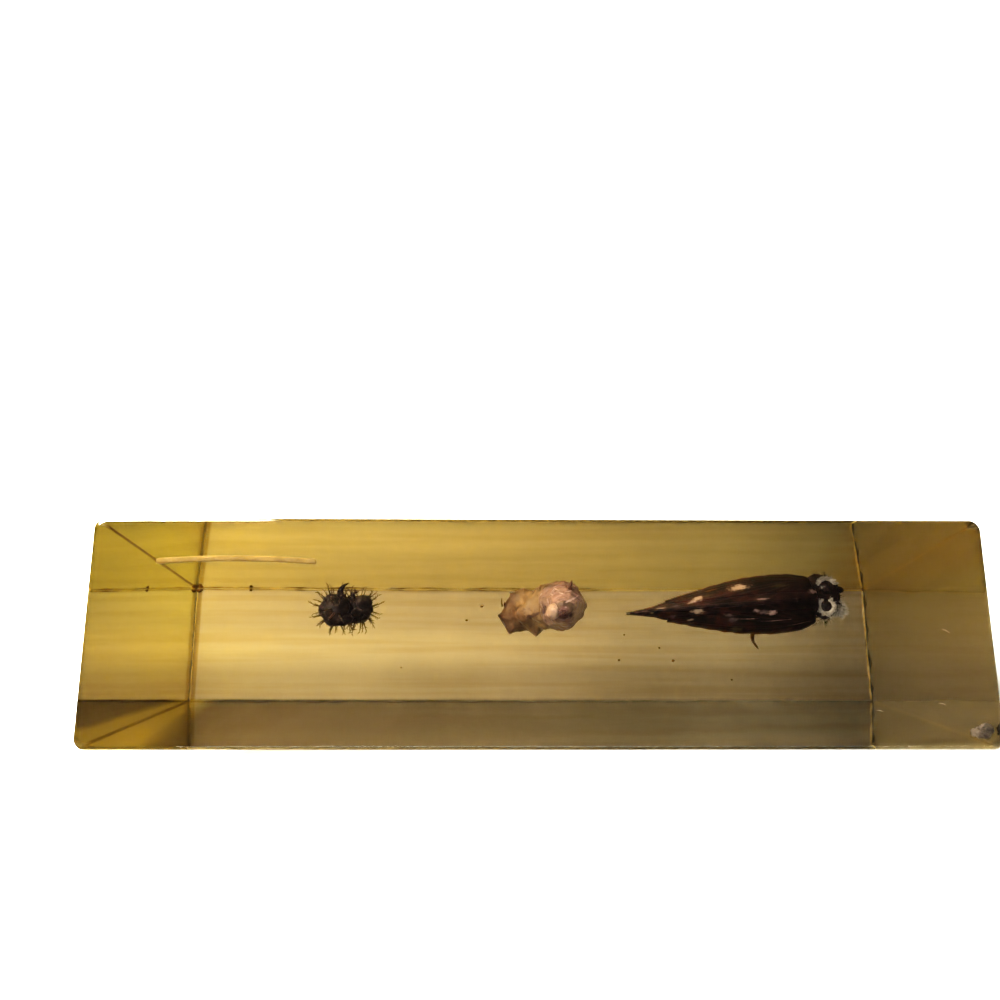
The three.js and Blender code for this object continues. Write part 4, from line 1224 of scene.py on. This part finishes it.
def makeFlaws(spec):
    for name, word, colour, flat in (("cast_dust", "dust", "dustColour", 0.6),
                                     ("corner_crumb", "crumb", "crumbColour", 0.7)):
        skins = [blobSkin((x, y, z), (size, size * 0.8, size * flat), 12, 16, 0.9, x + y)
                 for x, y, z, size in spec[word]]
        addFlaw(name, skins, colour, spec)
    scuffs = []
    for start, end in spec["scuffs"]:
        middle = tuple((a + b) / 2 + c for a, b, c in zip(start, end, (0.05, 0.1, 0)))
        scuffs.append(tubeSkin((start, middle, end), (0.01, 0.06, 0.01), 6, 10, 0.5))
    addFlaw("polish_scuffs", scuffs, "scuffColour", spec)


def makeEdgeLines(spec, barSpec):
    back = barSpec["width"] / 2 - barSpec["height"] * math.tan(math.radians(barSpec["draft"]))
    # dark lines along the back lower edge
    lowEdgeDark = []
    for start, stop, radius in spec["edgeDarkLines"]:
        line = ((start, back - 0.12, 0.14), ((start + stop) / 2, back - 0.2, 0.16), (stop, back - 0.12, 0.14))
        lowEdgeDark.append(tubeSkin(line, (0.01, radius * 0.7, radius * 0.3, radius * 0.7, 0.01), 6, 60, 1.2))
    addFlaw("edge_dark_lines", lowEdgeDark, "edgeDarkColour", spec)
    # a pale line along the right lower edge, a painted highlight
    x, reach, radius = spec["edgeHighlight"]
    line = []
    for step in range(25):
        y = reach * (step / 12 - 1)
        line.append((x - 0.05 * abs(math.sin(y * 1.1)), y, 0.26))
    highlightTube = tubeSkin(line, (radius, radius * 1.3, radius * 0.7, radius * 1.2, radius), 8, 120, 0.8)
    addFlaw("edge_painted_highlight", [highlightTube], "edgeHighlightColour", spec)


makeFlaws(barFlaws)
makeEdgeLines(barFlaws, resinBar)
print("dust, crumb and scuffs made")


# stage: pale floor, soft light

stageLook = {
    "floor": (0.86, 0.86, 0.85), "worldColour": (1.0, 0.97, 0.92), "worldStrength": 0.04,
    "keyColour": (1.0, 0.96, 0.86), "keyPower": 7.3, "keyPlace": (-0.094, 0.074, 0.090),
    "keyAim": (-0.045, 0.0, 0.0), "keySize": 0.06,
    # a weak flat light over the floor in front, where the bar throws its shadow
    "washPlace": (0.050, -0.066, 0.070), "washSize": (0.22, 0.075), "washSpread": 80.0, "washPower": 0.22,
}


def makeFloor(spec):
    half, drop = 3000, -0.01
    corners = [(x * half, y * half, drop) for x, y in ((-1, -1), (1, -1), (1, 1), (-1, 1))]
    floor = makeObject("floor", corners, [(0, 1, 2, 3)], False)
    material, *_ = startMaterial("paleFloor", {"Base Color": (*spec["floor"], 1), "Roughness": 0.9})
    floor.data.materials.append(material)


def areaLight(name, place, aim, size, power, colour, spread=180.0):
    light = bpy.data.lights.new(name, "AREA")
    light.energy = power
    light.shape = "RECTANGLE"
    light.size, light.size_y = size
    light.spread = math.radians(spread)
    light.color = colour
    item = bpy.data.objects.new(name, light)
    bpy.context.scene.collection.objects.link(item)
    item.location = place
    item.rotation_euler = (Vector(aim) - Vector(place)).to_track_quat("-Z", "Y").to_euler()
    item.visible_camera = False


def makeStage(spec, scene):
    makeFloor(spec)
    areaLight("keyLight", spec["keyPlace"], spec["keyAim"], (spec["keySize"],) * 2, spec["keyPower"],
              spec["keyColour"])
    areaLight("washLight", spec["washPlace"], (*spec["washPlace"][:2], 0.0), spec["washSize"],
              spec["washPower"], spec["worldColour"], spec["washSpread"])
    world = bpy.data.worlds.new("studio")
    world.use_nodes = True
    background = world.node_tree.nodes["Background"]
    background.inputs["Color"].default_value = (*spec["worldColour"], 1)
    background.inputs["Strength"].default_value = spec["worldStrength"]
    scene.world = world
    # light has to get in through the clear walls and out again
    scene.cycles.max_bounces = 32
    scene.cycles.glossy_bounces = 16
    scene.cycles.transmission_bounces = 24
    scene.view_settings.view_transform = "Standard"


makeStage(stageLook, bpy.context.scene)
print("stage set")
